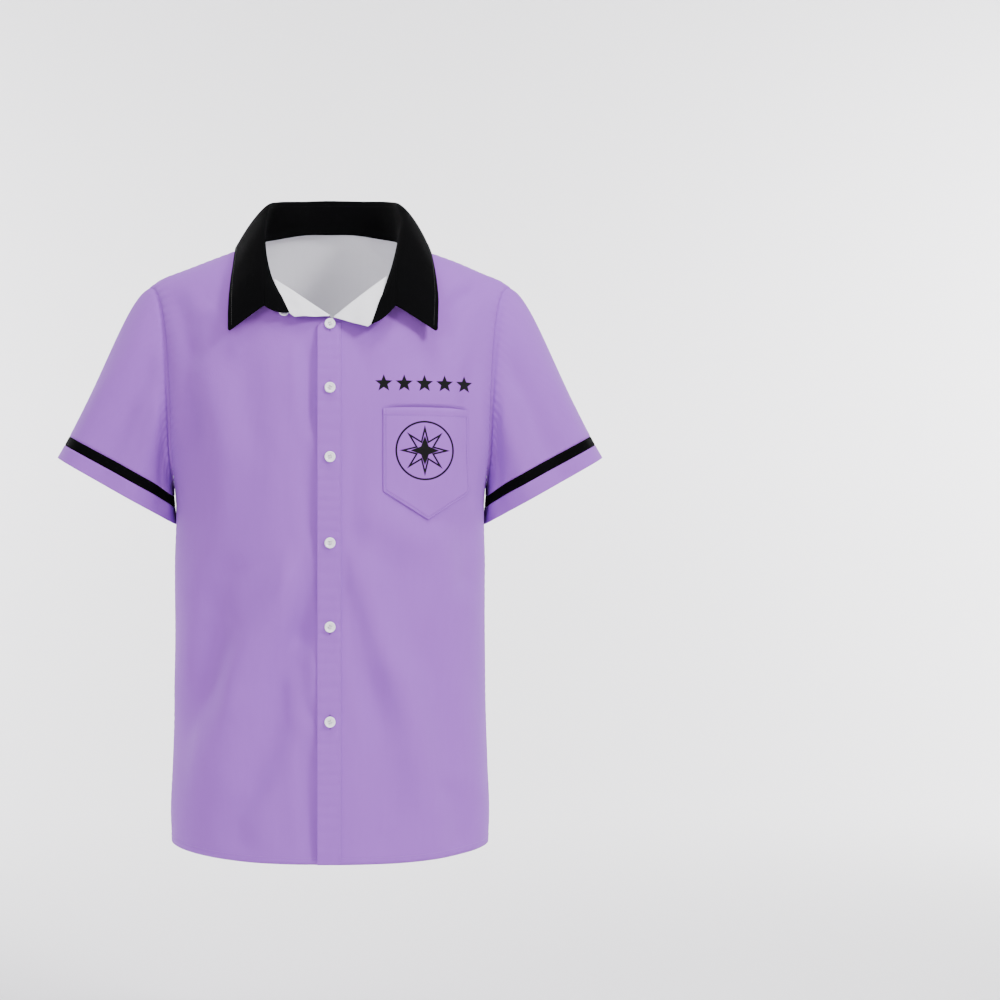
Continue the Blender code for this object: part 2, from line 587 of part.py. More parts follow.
def cloth(name, grids, outward, group, slot="lilac_cloth", wall=CLOTH, seam_side=0.0, lean=0.0):
    """A closed solid from the grids of its outer face: they are joined, given a wall inward and a rim.

    On the seams in the plane Y = 0 the edge is moved half a seam gap to its own side and cut square to it.
    On the armhole edge of a sleeve the wall leans toward the body no more than lean.
    """
    bm = bmesh.new()
    known = {}
    for grid in grids:
        rows = []
        for line in grid:
            verts = []
            for p in line:
                key = tuple(int(round(c * 1e6)) for c in p)
                if key not in known:
                    known[key] = bm.verts.new([float(c) for c in p])
                verts.append(known[key])
            rows.append(verts)
        for low, high in zip(rows, rows[1:]):
            for a, b, c, d in zip(low, low[1:], high[1:], high):
                corners = list(dict.fromkeys((a, b, c, d)))
                if len(corners) > 2:
                    bm.faces.new(corners)
    bmesh.ops.recalc_face_normals(bm, faces=bm.faces)
    bmesh.ops.triangulate(bm, faces=bm.faces, quad_method="FIXED")
    bm.normal_update()
    middle = grids[0].shape[0] // 2
    probe = grids[0][middle][grids[0].shape[1] // 2]
    key = tuple(int(round(c * 1e6)) for c in probe)
    if known[key].normal.dot(Vector(outward)) < 0:
        bmesh.ops.reverse_faces(bm, faces=bm.faces)
        bm.normal_update()
    outer = list(bm.verts)
    faces = list(bm.faces)
    rim = [edge for edge in bm.edges if len(edge.link_faces) == 1]
    inner = {}
    for vert in outer:
        n = vert.normal.copy()
        if seam_side and abs(vert.co.y) < 1e-6:
            n.y = 0.0
            n.normalize()
            vert.co.y = seam_side * SEAM_GAP / 2
        if lean and abs(vert.co.x) < TIP_X + 2 * SLEEVE_START and n.x * math.copysign(1.0, vert.co.x) > lean:
            n.x = math.copysign(lean, vert.co.x)
            n.normalize()
        inner[vert] = vert.co - n * wall
    twin = {vert: bm.verts.new(point) for vert, point in inner.items()}
    for face in faces:
        bm.faces.new([twin[vert] for vert in reversed(face.verts)])
    for edge in rim:
        loop = edge.link_loops[0]
        a = loop.vert
        b = loop.link_loop_next.vert
        bm.faces.new([b, a, twin[a], twin[b]])
    bmesh.ops.recalc_face_normals(bm, faces=bm.faces)
    return add(bm, name, slot, group)


def tree_of(item):
    """A search tree over the faces of an object."""
    bm = bmesh.new()
    bm.from_mesh(item.data)
    tree = BVHTree.FromBMesh(bm)
    bm.free()
    return tree


def front_point(tree, x, z):
    """The first point and normal met when looking along +Y at x and z."""
    hit, normal, _, _ = tree.ray_cast(Vector((x, -1.0, z)), Vector((0.0, 1.0, 0.0)))
    return np.array(hit), np.array(normal)


def draped(tree, xs, zs, off):
    """A grid of points seen at xs and zs, moved off the cloth below along the grid's own normals."""
    base = np.array([[front_point(tree, x, z)[0] for x, z in zip(rx, rz)] for rx, rz in zip(xs, zs)])
    return base + grid_normals(base, np.array([0.0, -1.0, 0.0])) * off


def pocket(tree, group):
    """The patch pocket: straight mouth, straight sides and a pointed bottom."""
    a = np.linspace(0.0, 1.0, POCKET_COLUMNS + 1)[None, :]
    b = np.linspace(0.0, 1.0, POCKET_ROWS + 1)[:, None]
    bottom = mixed(POCKET_SIDE_Z, POCKET_POINT_Z, 1.0 - np.abs(2 * a - 1.0))
    xs = mixed(POCKET_X[0], POCKET_X[1], a) + np.zeros_like(b)
    zs = mixed(POCKET_TOP_Z, bottom, b)
    grid = draped(tree, xs, zs, POCKET_GAP + CLOTH)
    return cloth("pocket", [grid], (0, -1, 0), group)


def placket(tree, group):
    """The folded strip on the left front's free edge."""
    b = np.linspace(0.0, 1.0, PLACKET_ROWS + 1)[:, None]
    a = np.linspace(0.0, 1.0, 3)[None, :]
    zs = mixed(HEM_Z + 0.0008, PLACKET_TOP_Z, b) + np.zeros_like(a)
    inset = 0.0014 + 0.012 * ease((zs - EDGE_CORNER_Z + 0.002) / 0.012) * (1.0 - a)
    xs = mixed(PLACKET_X[0] + inset, PLACKET_X[1], a)
    grid = draped(tree, xs, zs, SEAM_GAP * 1.5 + STRIP_CLOTH)
    return cloth("placket", [grid], (0, -1, 0), group, wall=STRIP_CLOTH)


def button(name, at, face, group, cutters):
    """A four-hole button: a turned profile with a raised rim, drilled by four small cylinders."""
    spin = np.linspace(0.0, 2 * math.pi, BUTTON_SIDES, endpoint=False)
    turn = Vector((0.0, 0.0, 1.0)).rotation_difference(Vector(face).normalized()).to_matrix()
    place_at = Vector(at)
    bm = bmesh.new()
    rings = []
    for radius, height in BUTTON_PROFILE:
        if radius == 0.0:
            rings.append([bm.verts.new(place_at + turn @ Vector((0.0, 0.0, height)))])
        else:
            rings.append([
                bm.verts.new(place_at + turn @ Vector((radius * math.cos(t), radius * math.sin(t), height)))
                for t in spin
            ])
    for low, high in zip(rings, rings[1:]):
        for i in range(BUTTON_SIDES):
            j = (i + 1) % BUTTON_SIDES
            corners = [low[i % len(low)], low[j % len(low)], high[j % len(high)], high[i % len(high)]]
            bm.faces.new(list(dict.fromkeys(corners)))
    bmesh.ops.recalc_face_normals(bm, faces=bm.faces)
    item = add(bm, name, "white_button", group)
    holes = bmesh.new()
    for k in range(4):
        swing = math.radians(45 + 90 * k)
        centre = Vector((HOLE_SPREAD * math.cos(swing), HOLE_SPREAD * math.sin(swing), 0.001))
        made = bmesh.ops.create_cone(
            holes, cap_ends=True, segments=5, radius1=HOLE_RADIUS, radius2=HOLE_RADIUS, depth=0.006)
        for vert in made["verts"]:
            vert.co = place_at + turn @ (vert.co + centre)
    drill = add(holes, name + "_holes", "white_button", cutters)
    drill.hide_render = True
    drill.display_type = "WIRE"
    cut = item.modifiers.new("holes", "BOOLEAN")
    cut.operation = "DIFFERENCE"
    cut.solver = "EXACT"
    cut.object = drill
    return item


# ---------------------------------------------------------------- the shirt
def build():
    """Every piece of the shirt, each as one closed solid."""
    for item in list(bpy.data.objects):
        bpy.data.objects.remove(item)
    group = scene_collection(NAME)
    cutters = scene_collection("cutters")
    cutters.hide_render = True
    flip = np.array([-1.0, 1.0, 1.0])

    edges = {}
    fronts = {}
    for which in ("left", "right"):
        grid, normal = front_grid(which)
        fold_out = lapel_grid(which, grid, normal)
        seam = fold_out[[0, 7, 8, 9, 10], -1]
        reverse = np.linspace(0.0, 1.0, len(seam))[:, None]
        edges[which] = seam + unit(np.array([0.1, -1.0, 0.25])) * CLOTH * ease(reverse * 3)
        mirror = flip if which == "right" else np.ones(3)
        fronts[which] = cloth(
            "front_" + which, [grid * mirror, fold_out * mirror], (0, -1, 0), group, seam_side=-1.0)
    cloth("back", back_grids(), (0, 1, 0), group, seam_side=1.0)

    for name, grid in sleeve_grids().items():
        slot = "black_cloth" if name == "sleeve_stripe" else "lilac_cloth"
        cloth(name + "_left", [grid], (1, 0, 0.5), group, slot, lean=0.1)
        cloth(name + "_right", [grid * flip], (-1, 0, 0.5), group, slot, lean=0.1)

    band, fall = collar_grids(edges)
    cloth("collar_band", [band], (0, -1, 0), group, "black_cloth")
    cloth("collar_fall", [fall], (0, 1, 0.5), group, "black_cloth")

    left = tree_of(fronts["left"])
    pocket(left, group)
    strip = tree_of(placket(left, group))
    for number, z in enumerate(BUTTON_Z, 1):
        hit, normal = front_point(strip if z < PLACKET_TOP_Z else left, 0.0, z)
        button("button_%d" % number, hit + normal * SEAM_GAP * 1.5, normal, group, cutters)
    button("collar_button", COLLAR_BUTTON_AT, COLLAR_BUTTON_FACE, group, cutters)


build()
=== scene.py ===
"""A short-sleeved bowling shirt, dressed: cloth shells, sewing, buttons and printed ornament.

The frame: X to the wearer's left, Y to the wearer's back, Z up, in metres. The origin is the middle of
the neck opening at the height where the shoulder seams meet the collar.
"""

import logging
import math
from collections.abc import Sequence
from dataclasses import dataclass, field
from enum import Enum
from typing import Any

import bmesh
import bpy
import numpy as np
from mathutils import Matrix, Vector


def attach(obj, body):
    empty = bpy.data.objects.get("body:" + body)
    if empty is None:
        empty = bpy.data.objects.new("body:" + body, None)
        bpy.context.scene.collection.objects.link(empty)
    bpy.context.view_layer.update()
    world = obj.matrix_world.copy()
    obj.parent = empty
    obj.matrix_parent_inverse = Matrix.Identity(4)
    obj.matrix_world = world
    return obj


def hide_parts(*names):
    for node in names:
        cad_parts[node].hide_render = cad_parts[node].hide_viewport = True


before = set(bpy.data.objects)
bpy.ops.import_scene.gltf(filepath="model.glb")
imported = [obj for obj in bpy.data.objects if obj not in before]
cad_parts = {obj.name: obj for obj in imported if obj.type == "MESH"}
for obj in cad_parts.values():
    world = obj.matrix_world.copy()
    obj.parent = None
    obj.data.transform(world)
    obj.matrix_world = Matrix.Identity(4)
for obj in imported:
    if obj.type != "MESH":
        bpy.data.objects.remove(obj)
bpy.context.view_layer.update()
LOG = logging.getLogger("bowling_shirt")

Array = np.ndarray
Piece = bpy.types.Object
Finish = bpy.types.Material
Tree = bpy.types.NodeTree
Socket = bpy.types.NodeSocket
Links = dict[str | int, Any]
# A line on cloth: its points, and the cloth's normals at them.
Line = tuple[Array, Array]

# Every piece rides on the one body of the part.
BODY = "root"
# Real shirting is about 0.3 mm thick; two layers and the sewing between them come to this.
SHELL = 0.0006
COLLAR_SHELL = 0.0012
MIRROR = np.array([-1.0, 1.0, 1.0])
# Points closer than this are one point; edges shorter than the second are none.
SAME_POINT = 2e-6
NO_EDGE = 1e-7
# A second grid of one sheet lies this far up the uncut cloth.
NEXT_ON_CLOTH = 1.3
# A direction that no cord or stitch follows, from which its rings are turned.
ASIDE = np.array([0.12, -0.31, 0.94])


class Half(Enum):
    """The wearer's two sides. The value is the sign of X."""

    LEFT = 1
    RIGHT = -1

    @property
    def word(self) -> str:
        """The side as it stands in the names of pieces."""
        return self.name.lower()


class Face(Enum):
    """Front or back of the body form. The value is the sign of Y."""

    FRONT = -1
    BACK = 1


# ---------------------------------------------------------------- arrays
def ease(t: Array | float) -> Array:
    """A smooth step: 3t^2 - 2t^3, held at 0 and 1 outside that range."""
    t = np.clip(t, 0.0, 1.0)
    return t * t * (3.0 - 2.0 * t)


def unit(v: Array) -> Array:
    """Vectors divided by their length."""
    return v / np.maximum(np.linalg.norm(v, axis=-1, keepdims=True), 1e-12)


def bell(off: Array, width: float) -> Array:
    """A bell over 0: e to the power of minus the square of off by width."""
    return np.exp(-((off / width) ** 2))


def mixed(a: Array | float, b: Array | float, t: Array | float) -> Array:
    """The straight line from a to b: a plus t times their difference."""
    return a + (b - a) * t


def column(rows: Sequence[Any], key: str, name: str, at: Array | float) -> Array:
    """Read one named column of a table smoothly between its rows.

    Each gap between two rows is a cubic Hermite piece; the slopes are central differences.

    Args:
        rows: the table, in rising order of key.
        key: the field that says where each row lies.
        name: the field that is read.
        at: where it is read, in key's measure.

    Returns:
        The values at each place.
    """
    at = np.asarray(at, float)
    k = np.array([getattr(row, key) for row in rows])
    v = np.array([getattr(row, name) for row in rows])
    slope = np.gradient(v, k)
    i = np.clip(np.searchsorted(k, at) - 1, 0, len(k) - 2)
    w = k[i + 1] - k[i]
    f = np.clip((at - k[i]) / w, 0.0, 1.0)
    start = (1 + 2 * f) * (1 - f) ** 2 * v[i] + f * (1 - f) ** 2 * w * slope[i]
    end = f * f * (3 - 2 * f) * v[i + 1] - f * f * (1 - f) * w * slope[i + 1]
    return start + end


def shares(count: int) -> Array:
    """Even steps from 0 to 1, with both ends."""
    return np.linspace(0.0, 1.0, count + 1)


def run_of(points: Array) -> Array:
    """Length run along a path, from 0 at its first point."""
    step = np.linalg.norm(np.diff(points, axis=0), axis=1)
    return np.concatenate([[0.0], np.cumsum(step)])


def read_at(at: Array, run: Array, rows: Array) -> Array:
    """Rows of numbers that lie at the lengths run, read at other lengths, straight between them."""
    return np.stack([np.interp(at, run, rows[:, c]) for c in range(rows.shape[1])], axis=-1)


def evenly(points: Array, count: int) -> Array:
    """A path cut again into count equal steps."""
    run = run_of(points)
    return read_at(np.linspace(0.0, run[-1], count + 1), run, points)


def facing(grid: Array, outward: Sequence[float]) -> Array:
    """Normals of a grid: the cross product of its two directions, turned to the side of outward."""
    n = unit(np.cross(np.gradient(grid, axis=1), np.gradient(grid, axis=0)))
    return np.where(np.sum(n * np.array(outward), axis=-1, keepdims=True) < 0, -n, n)


def bezier(start: Array, first: Array, last: Array, end: Array, w: Array) -> Array:
    """A cubic curve from start to end whose handles are first and last."""
    return (
        (1 - w) ** 3 * start + 3 * (1 - w) ** 2 * w * first + 3 * (1 - w) * w ** 2 * last + w ** 3 * end
    )


# ---------------------------------------------------------------- materials
def linear(code: str) -> tuple[float, float, float, float]:
    """An sRGB hex colour as the linear numbers that a shader takes."""
    parts = np.array([int(code[i:i + 2], 16) / 255.0 for i in (1, 3, 5)])
    low = parts / 12.92
    high = ((parts + 0.055) / 1.055) ** 2.4
    return (*(float(c) for c in np.where(parts <= 0.04045, low, high)), 1.0)


def add(tree: Tree, kind: str, inputs: Links | None = None, **settings: Any) -> bpy.types.Node:
    """Add one node to a material.

    Args:
        tree: the material's node tree.
        kind: the node's type.
        inputs: for each input, by name or number, a value or the output socket that is linked to it.
        settings: the node's own settings.

    Returns:
        The node.
    """
    made = tree.nodes.new(kind)
    for name, value in settings.items():
        setattr(made, name, value)
    for name, value in (inputs or {}).items():
        if isinstance(value, Socket):
            tree.links.new(value, made.inputs[name])
        else:
            made.inputs[name].default_value = value
    return made


def calculate(tree: Tree, *steps: tuple[Any, ...]) -> list[Socket]:
    """Work out a chain of sums with Math nodes.

    Args:
        tree: the material's node tree.
        steps: each is an operation and its terms. A term that is a text starting with = is the result of
            that earlier step, counted from 0.

    Returns:
        The result of every step.
    """
    results: list[Socket] = []
    for operation, *terms in steps:
        read = [results[int(t[1:])] if isinstance(t, str) else t for t in terms]
        sums = add(tree, "ShaderNodeMath", dict(enumerate(read)), operation=operation)
        results.append(sums.outputs[0])
    return results


def start_material(name: str) -> tuple[Finish, Tree, bpy.types.Node]:
    """A new material with its node tree and its Principled shader."""
    made = bpy.data.materials.new(name)
    made.use_nodes = True
    return made, made.node_tree, made.node_tree.nodes["Principled BSDF"]


@dataclass(frozen=True)
class Star:
    """A straight-sided star, drawn as a line or filled.

    A point is turned into the star's first half wedge by folding its angle, and its distance from the
    straight side from a tip to a hollow is the star's distance. Radii in metres. line is half the drawn
    line's width; a star whose line is 0 is filled.
    """

    points: int
    tip: float
    hollow: float
    line: float = 0.0
    turn: float = 0.0

    def ink(self, tree: Tree, x: Any, y: Any) -> Socket:
        """1 where the star is inked, with x and y counted from its centre."""
        wedge = 2 * math.pi / self.points
        dx = self.hollow * math.cos(wedge / 2) - self.tip
        dy = self.hollow * math.sin(wedge / 2)
        size = math.hypot(dx, dy)
        distance = calculate(
            tree,
            ("ARCTAN2", x, y),
            ("ADD", "=0", self.turn),
            ("DIVIDE", "=1", wedge),
            ("ADD", "=2", 0.5),
            ("FRACT", "=3"),
            ("SUBTRACT", "=4", 0.5),
            ("ABSOLUTE", "=5"),
            ("MULTIPLY", "=6", wedge),
            ("MULTIPLY", x, x),
            ("MULTIPLY_ADD", y, y, "=8"),
            ("SQRT", "=9"),
            ("COSINE", "=7"),
            ("SINE", "=7"),
            ("MULTIPLY", "=10", "=11"),
            ("MULTIPLY", "=10", "=12"),
            ("SUBTRACT", "=13", self.tip),
            ("MULTIPLY", "=15", dy / size),
            ("MULTIPLY_ADD", "=14", -dx / size, "=16"),
        )[-1]
        if self.line:
            distance = calculate(
                tree,
                ("ADD", distance, self.line),
                ("ABSOLUTE", "=0"),
                ("SUBTRACT", "=1", self.line),
            )[-1]
        return inked(tree, distance)


@dataclass(frozen=True)
class Ring:
    """A circle drawn as a line: the distance from the circle, less line, which is half its width."""

    radius: float
    line: float

    def ink(self, tree: Tree, x: Any, y: Any) -> Socket:
        """1 where the ring is inked, with x and y counted from its centre."""
        distance = calculate(
            tree,
            ("MULTIPLY", x, x),
            ("MULTIPLY_ADD", y, y, "=0"),
            ("SQRT", "=1"),
            ("SUBTRACT", "=2", self.radius),
            ("ABSOLUTE", "=3"),
            ("SUBTRACT", "=4", self.line),
        )[-1]
        return inked(tree, distance)


# The ink's edge is sharp to this many metres.
INK_EDGE = 0.00035


def inked(tree: Tree, distance: Any) -> Socket:
    """1 inside the shape and 0 outside, from the signed distance, over the width of the ink's edge."""
    soft = calculate(tree, ("DIVIDE", distance, -INK_EDGE), ("ADD", "=0", 0.5))[-1]
    soft.node.use_clamp = True
    return soft


@dataclass(frozen=True)
class Motif:
    """Plain shapes about one centre, which is (x, z) in the shirt's frame, in metres."""

    x: float
    z: float
    shapes: tuple[Star | Ring, ...]

    def ink(self, tree: Tree, x: Any, z: Any) -> Socket:
        """1 where any of the shapes is inked."""
        local = calculate(tree, ("SUBTRACT", x, self.x), ("SUBTRACT", z, self.z))
        return darkest(tree, [shape.ink(tree, *local) for shape in self.shapes])


@dataclass(frozen=True)
class Repeat:
    """One shape repeated along a straight row or along an arch.

    A row has no radius: x is folded into cells one pitch wide. On an arch the angle round its centre is
    folded instead, and the cell's own axes are across and outward. Metres.
    """

    x: float
    z: float
    shape: Star | Ring
    count: int
    pitch: float
    radius: float = 0.0

    def ink(self, tree: Tree, x: Any, z: Any) -> Socket:
        """1 where a copy of the shape is inked."""
        local = calculate(tree, ("SUBTRACT", x, self.x), ("SUBTRACT", z, self.z))
        shift = 0.0 if self.count % 2 else 0.5
        if self.radius:
            polar = calculate(
                tree,
                ("ARCTAN2", local[0], local[1]),
                ("MULTIPLY", "=0", self.radius / self.pitch),
                ("MULTIPLY", local[0], local[0]),
                ("MULTIPLY_ADD", local[1], local[1], "=2"),
                ("SQRT", "=3"),
                ("SUBTRACT", "=4", self.radius),
            )
            place, outward = polar[1], polar[5]
        else:
            place, outward = calculate(tree, ("DIVIDE", local[0], self.pitch))[0], local[1]
        cell = calculate(
            tree,
            ("ADD", place, shift + 0.5),
            ("FRACT", "=0"),
            ("SUBTRACT", "=1", 0.5),
            ("MULTIPLY", "=2", self.pitch),
            ("ABSOLUTE", place),
            ("LESS_THAN", "=4", self.count / 2),
        )
        ink = self.shape.ink(tree, cell[3], outward)
        return calculate(tree, ("MULTIPLY", ink, cell[5]))[0]


def darkest(tree: Tree, inks: Sequence[Socket]) -> Socket:
    """The darkest of several inks at each point."""
    top = inks[0]
    for ink in inks[1:]:
        top = calculate(tree, ("MAXIMUM", top, ink))[0]
    return top


@dataclass(frozen=True)
class Weave:
    """Crossed threads, from the cloth's own UV map in metres: a sine of each direction, multiplied.

    Real threads lie about 0.25 mm apart. One pitch takes in four of them, so that the weave shows.
    """

    pitch: float
    relief: float
    slub: float

    def height(self, tree: Tree) -> Socket:
        """Height of the threads, from -1 to 1, with slow slubs along the cloth."""
        uv = add(tree, "ShaderNodeUVMap", uv_map="cloth").outputs[0]
        split = add(tree, "ShaderNodeSeparateXYZ", {0: uv})
        turns = 2 * math.pi / self.pitch
        threads = calculate(
            tree,
            ("MULTIPLY", split.outputs[0], turns),
            ("SINE", "=0"),
            ("MULTIPLY", split.outputs[1], turns),
            ("SINE", "=2"),
            ("MULTIPLY", "=1", "=3"),
        )[-1]
        place = add(tree, "ShaderNodeMapping", {0: uv, "Scale": (self.slub, self.slub * 0.15, 1.0)})
        slub = add(tree, "ShaderNodeTexNoise", {"Vector": place.outputs[0], "Scale": 1.0, "Detail": 3.0})
        return calculate(tree, ("MULTIPLY_ADD", slub.outputs[0], 1.6, threads))[0]


@dataclass(frozen=True)
class Cloth:
    """Plain-woven shirting.

    It scatters softly with a little sheen at grazing angles. Its threads are fine, and the light catches
    small uneven ripples from washing and wearing.
    """

    name: str
    colour: str
    shade: str
    weave: Weave
    rough: float = 0.82
    uneven: float = 0.06
    sheen: float = 0.05
    specular: float = 0.18
    ripple: float = 0.0007
    ripple_scale: float = 24.0
    ink_colour: str = "#040306"
    prints: tuple[Motif | Repeat, ...] = ()

    def material(self) -> Finish:
        """The material: a soft colour variation, painted shade in the weave's hollows, the printed ornament,
        the weave's bump and the ripples.
        """
        made, tree, shader = start_material(self.name)
        place = add(tree, "ShaderNodeTexCoord").outputs["Object"]
        slow = add(
            tree, "ShaderNodeTexNoise", {"Vector": place, "Scale": 9.0, "Detail": 4.0, "Roughness": 0.55},
        )
        tones = {0: slow.outputs[0], 6: linear(self.shade), 7: linear(self.colour)}
        tone = add(tree, "ShaderNodeMix", tones, data_type="RGBA")
        threads = self.weave.height(tree)
        # Painted shade: the colour is darker where the threads dip and lighter on their crowns, by the
        # weave's height.
        thread_shade = calculate(tree, ("MULTIPLY_ADD", threads, 0.028, 0.955))[0]
        lit = add(
            tree, "ShaderNodeMix", {0: 1.0, 6: tone.outputs[2], 7: thread_shade}, data_type="RGBA",
            blend_type="MULTIPLY",
        )
        colour = lit.outputs[2]
        if self.prints:
            split = add(tree, "ShaderNodeSeparateXYZ", {0: place})
            inks = [item.ink(tree, split.outputs[0], split.outputs[2]) for item in self.prints]
            ink = add(
                tree, "ShaderNodeMix", {0: darkest(tree, inks), 6: colour, 7: linear(self.ink_colour)},
                data_type="RGBA",
            )
            colour = ink.outputs[2]
        tree.links.new(colour, shader.inputs["Base Color"])
        spread = {3: self.rough - self.uneven, 4: self.rough + self.uneven}
        uneven = add(tree, "ShaderNodeMapRange", {0: slow.outputs[0], **spread})
        tree.links.new(uneven.outputs[0], shader.inputs["Roughness"])
        shader.inputs["Sheen Weight"].default_value = self.sheen
        shader.inputs["Sheen Roughness"].default_value = 0.45
        shader.inputs["Specular IOR Level"].default_value = self.specular
        waves = add(
            tree, "ShaderNodeTexNoise",
            {"Vector": place, "Scale": self.ripple_scale, "Detail": 3.0, "Roughness": 0.5, "Distortion": 0.6},
        )
        soft = add(
            tree, "ShaderNodeBump", {"Height": waves.outputs[0], "Strength": 1.0, "Distance": self.ripple},
        )
        fine = add(
            tree, "ShaderNodeBump",
            {"Height": threads, "Strength": 1.0, "Distance": self.weave.relief, "Normal": soft.outputs[0]},
        )
        tree.links.new(fine.outputs[0], shader.inputs["Normal"])
        return made


@dataclass(frozen=True)
class Thread:
    """Spun polyester sewing thread: matt, with fine twisted bands that catch the light, and painted shade
    across them.
    """

    name: str
    colour: str
    twist: float = 0.0006

    def material(self) -> Finish:
        """The material: one colour with painted shade in twist bands 0.6 mm apart, coarser than real so that
        they show.
        """
        made, tree, shader = start_material(self.name)
        place = add(tree, "ShaderNodeTexCoord").outputs["Object"]
        bands = add(
            tree, "ShaderNodeTexWave", {"Vector": place, "Scale": 0.314 / self.twist, "Distortion": 0.4},
            bands_direction="DIAGONAL",
        )
        # Painted shade: the colour darkens across each twist band, from 1 down to 0.86.
        tone = add(tree, "ShaderNodeMapRange", {0: bands.outputs[1], 3: 0.86, 4: 1.0})
        lit = add(
            tree, "ShaderNodeMix", {0: 1.0, 6: linear(self.colour), 7: tone.outputs[0]}, data_type="RGBA",
            blend_type="MULTIPLY",
        )
        tree.links.new(lit.outputs[2], shader.inputs["Base Color"])
        bump = add(tree, "ShaderNodeBump", {"Height": bands.outputs[1], "Distance": 0.00006})
        tree.links.new(bump.outputs[0], shader.inputs["Normal"])
        shader.inputs["Roughness"].default_value = 0.6
        shader.inputs["Sheen Weight"].default_value = 0.3
        return made


@dataclass(frozen=True)
class Resin:
    """Cast polyester resin, as in shirt buttons: glossy, with a faint cloudy depth from the casting."""

    name: str
    colour: str
    cloud: str

    def material(self) -> Finish:
        """The material: two near whites in slow clouds under a clear gloss, with fine polish marks."""
        made, tree, shader = start_material(self.name)
        place = add(tree, "ShaderNodeTexCoord").outputs["Object"]
        clouds = add(
            tree, "ShaderNodeTexNoise", {"Vector": place, "Scale": 260.0, "Detail": 2.0, "Distortion": 1.2},
        )
        tones = {0: clouds.outputs[0], 6: linear(self.cloud), 7: linear(self.colour)}
        tone = add(tree, "ShaderNodeMix", tones, data_type="RGBA")
        tree.links.new(tone.outputs[2], shader.inputs["Base Color"])
        marks = add(tree, "ShaderNodeTexNoise", {"Vector": place, "Scale": 1400.0, "Detail": 2.0})
        rough = add(tree, "ShaderNodeMapRange", {0: marks.outputs[0], 3: 0.22, 4: 0.36})
        tree.links.new(rough.outputs[0], shader.inputs["Roughness"])
        shader.inputs["IOR"].default_value = 1.55
        shader.inputs["Coat Weight"].default_value = 0.3
        shader.inputs["Coat Roughness"].default_value = 0.15
        shader.inputs["Subsurface Weight"].default_value = 0.12
        shader.inputs["Subsurface Radius"].default_value = (0.0012, 0.001, 0.0009)
        return made


@dataclass(frozen=True)
class Paper:
    """Matt background paper: even, with a faint tooth."""

    name: str
    colour: str

    def material(self) -> Finish:
        """The material: one pale colour with a very fine bump."""
        made, tree, shader = start_material(self.name)
        place = add(tree, "ShaderNodeTexCoord").outputs["Object"]
        tooth = add(tree, "ShaderNodeTexNoise", {"Vector": place, "Scale": 300.0})
        bump = add(tree, "ShaderNodeBump", {"Height": tooth.outputs[0], "Distance": 0.0002})
        tree.links.new(bump.outputs[0], shader.inputs["Normal"])
        shader.inputs["Base Color"].default_value = linear(self.colour)
        shader.inputs["Roughness"].default_value = 0.95
        return made


# ---------------------------------------------------------------- cloth meshes
def joined(grids: Sequence[Array], outward: Sequence[float]) -> bmesh.types.BMesh:
    """One open sheet from grids of points.

    Points that two grids share become one. Each loop's place on the uncut cloth is its length run along
    the grid's rows and columns. All faces are turned to the side of outward.

    Args:
        grids: arrays of rows by columns by 3.
        outward: a direction on the outer side of the middle of the first grid.

    Returns:
        The sheet, with a UV map named cloth in metres.
    """
    verts, faces, uvs = [], [], []
    base = 0
    for grid in grids:
        rows, cols = grid.shape[:2]
        index = base + np.arange(rows * cols).reshape(rows, cols)
        quads = np.stack([index[:-1, :-1], index[:-1, 1:], index[1:, 1:], index[1:, :-1]], axis=-1)
        u = np.cumsum(np.linalg.norm(np.diff(grid, axis=1, prepend=grid[:, :1]), axis=-1), axis=1)
        v = np.cumsum(np.linalg.norm(np.diff(grid, axis=0, prepend=grid[:1]), axis=-1), axis=0)
        verts.append(grid.reshape(-1, 3))
        uvs.append(np.stack([u, v + NEXT_ON_CLOTH * len(uvs)], axis=-1).reshape(-1, 2))
        faces.append(quads.reshape(-1, 4))
        base += rows * cols
    mesh = bpy.data.meshes.new("sheet")
    mesh.from_pydata(np.concatenate(verts).tolist(), [], np.concatenate(faces).tolist())
    layer = mesh.uv_layers.new(name="cloth")
    corner = np.empty(len(mesh.loops), dtype=np.int32)
    mesh.loops.foreach_get("vertex_index", corner)
    layer.data.foreach_set("uv", np.concatenate(uvs)[corner].astype(np.float32).ravel())
    bm = bmesh.new()
    bm.from_mesh(mesh)
    bpy.data.meshes.remove(mesh)
    bmesh.ops.remove_doubles(bm, verts=bm.verts, dist=SAME_POINT)
    bmesh.ops.dissolve_degenerate(bm, edges=bm.edges, dist=NO_EDGE)
    bmesh.ops.recalc_face_normals(bm, faces=bm.faces)
    bm.verts.ensure_lookup_table()
    middle = Vector(grids[0][grids[0].shape[0] // 2, grids[0].shape[1] // 2])
    probe = min(bm.faces, key=lambda face: (face.calc_center_median() - middle).length_squared)
    if probe.normal.dot(Vector(outward)) < 0:
        bmesh.ops.reverse_faces(bm, faces=bm.faces)
    return bm


def place_piece(name: str, bm: bmesh.types.BMesh, finishes: Sequence[Finish]) -> Piece:
    """Make an object of a mesh, smooth, at the origin of the scene.

    Args:
        name: the piece's name.
        bm: the mesh, which is used up.
        finishes: its materials, in slot order.

    Returns:
        The piece.
    """
    mesh = bpy.data.meshes.new(name)
    bm.to_mesh(mesh)
    bm.free()
    mesh.polygons.foreach_set("use_smooth", np.ones(len(mesh.polygons), dtype=bool))
    for finish in finishes:
        mesh.materials.append(finish)
    piece = bpy.data.objects.new(name, mesh)
    bpy.context.scene.collection.objects.link(piece)
    return piece


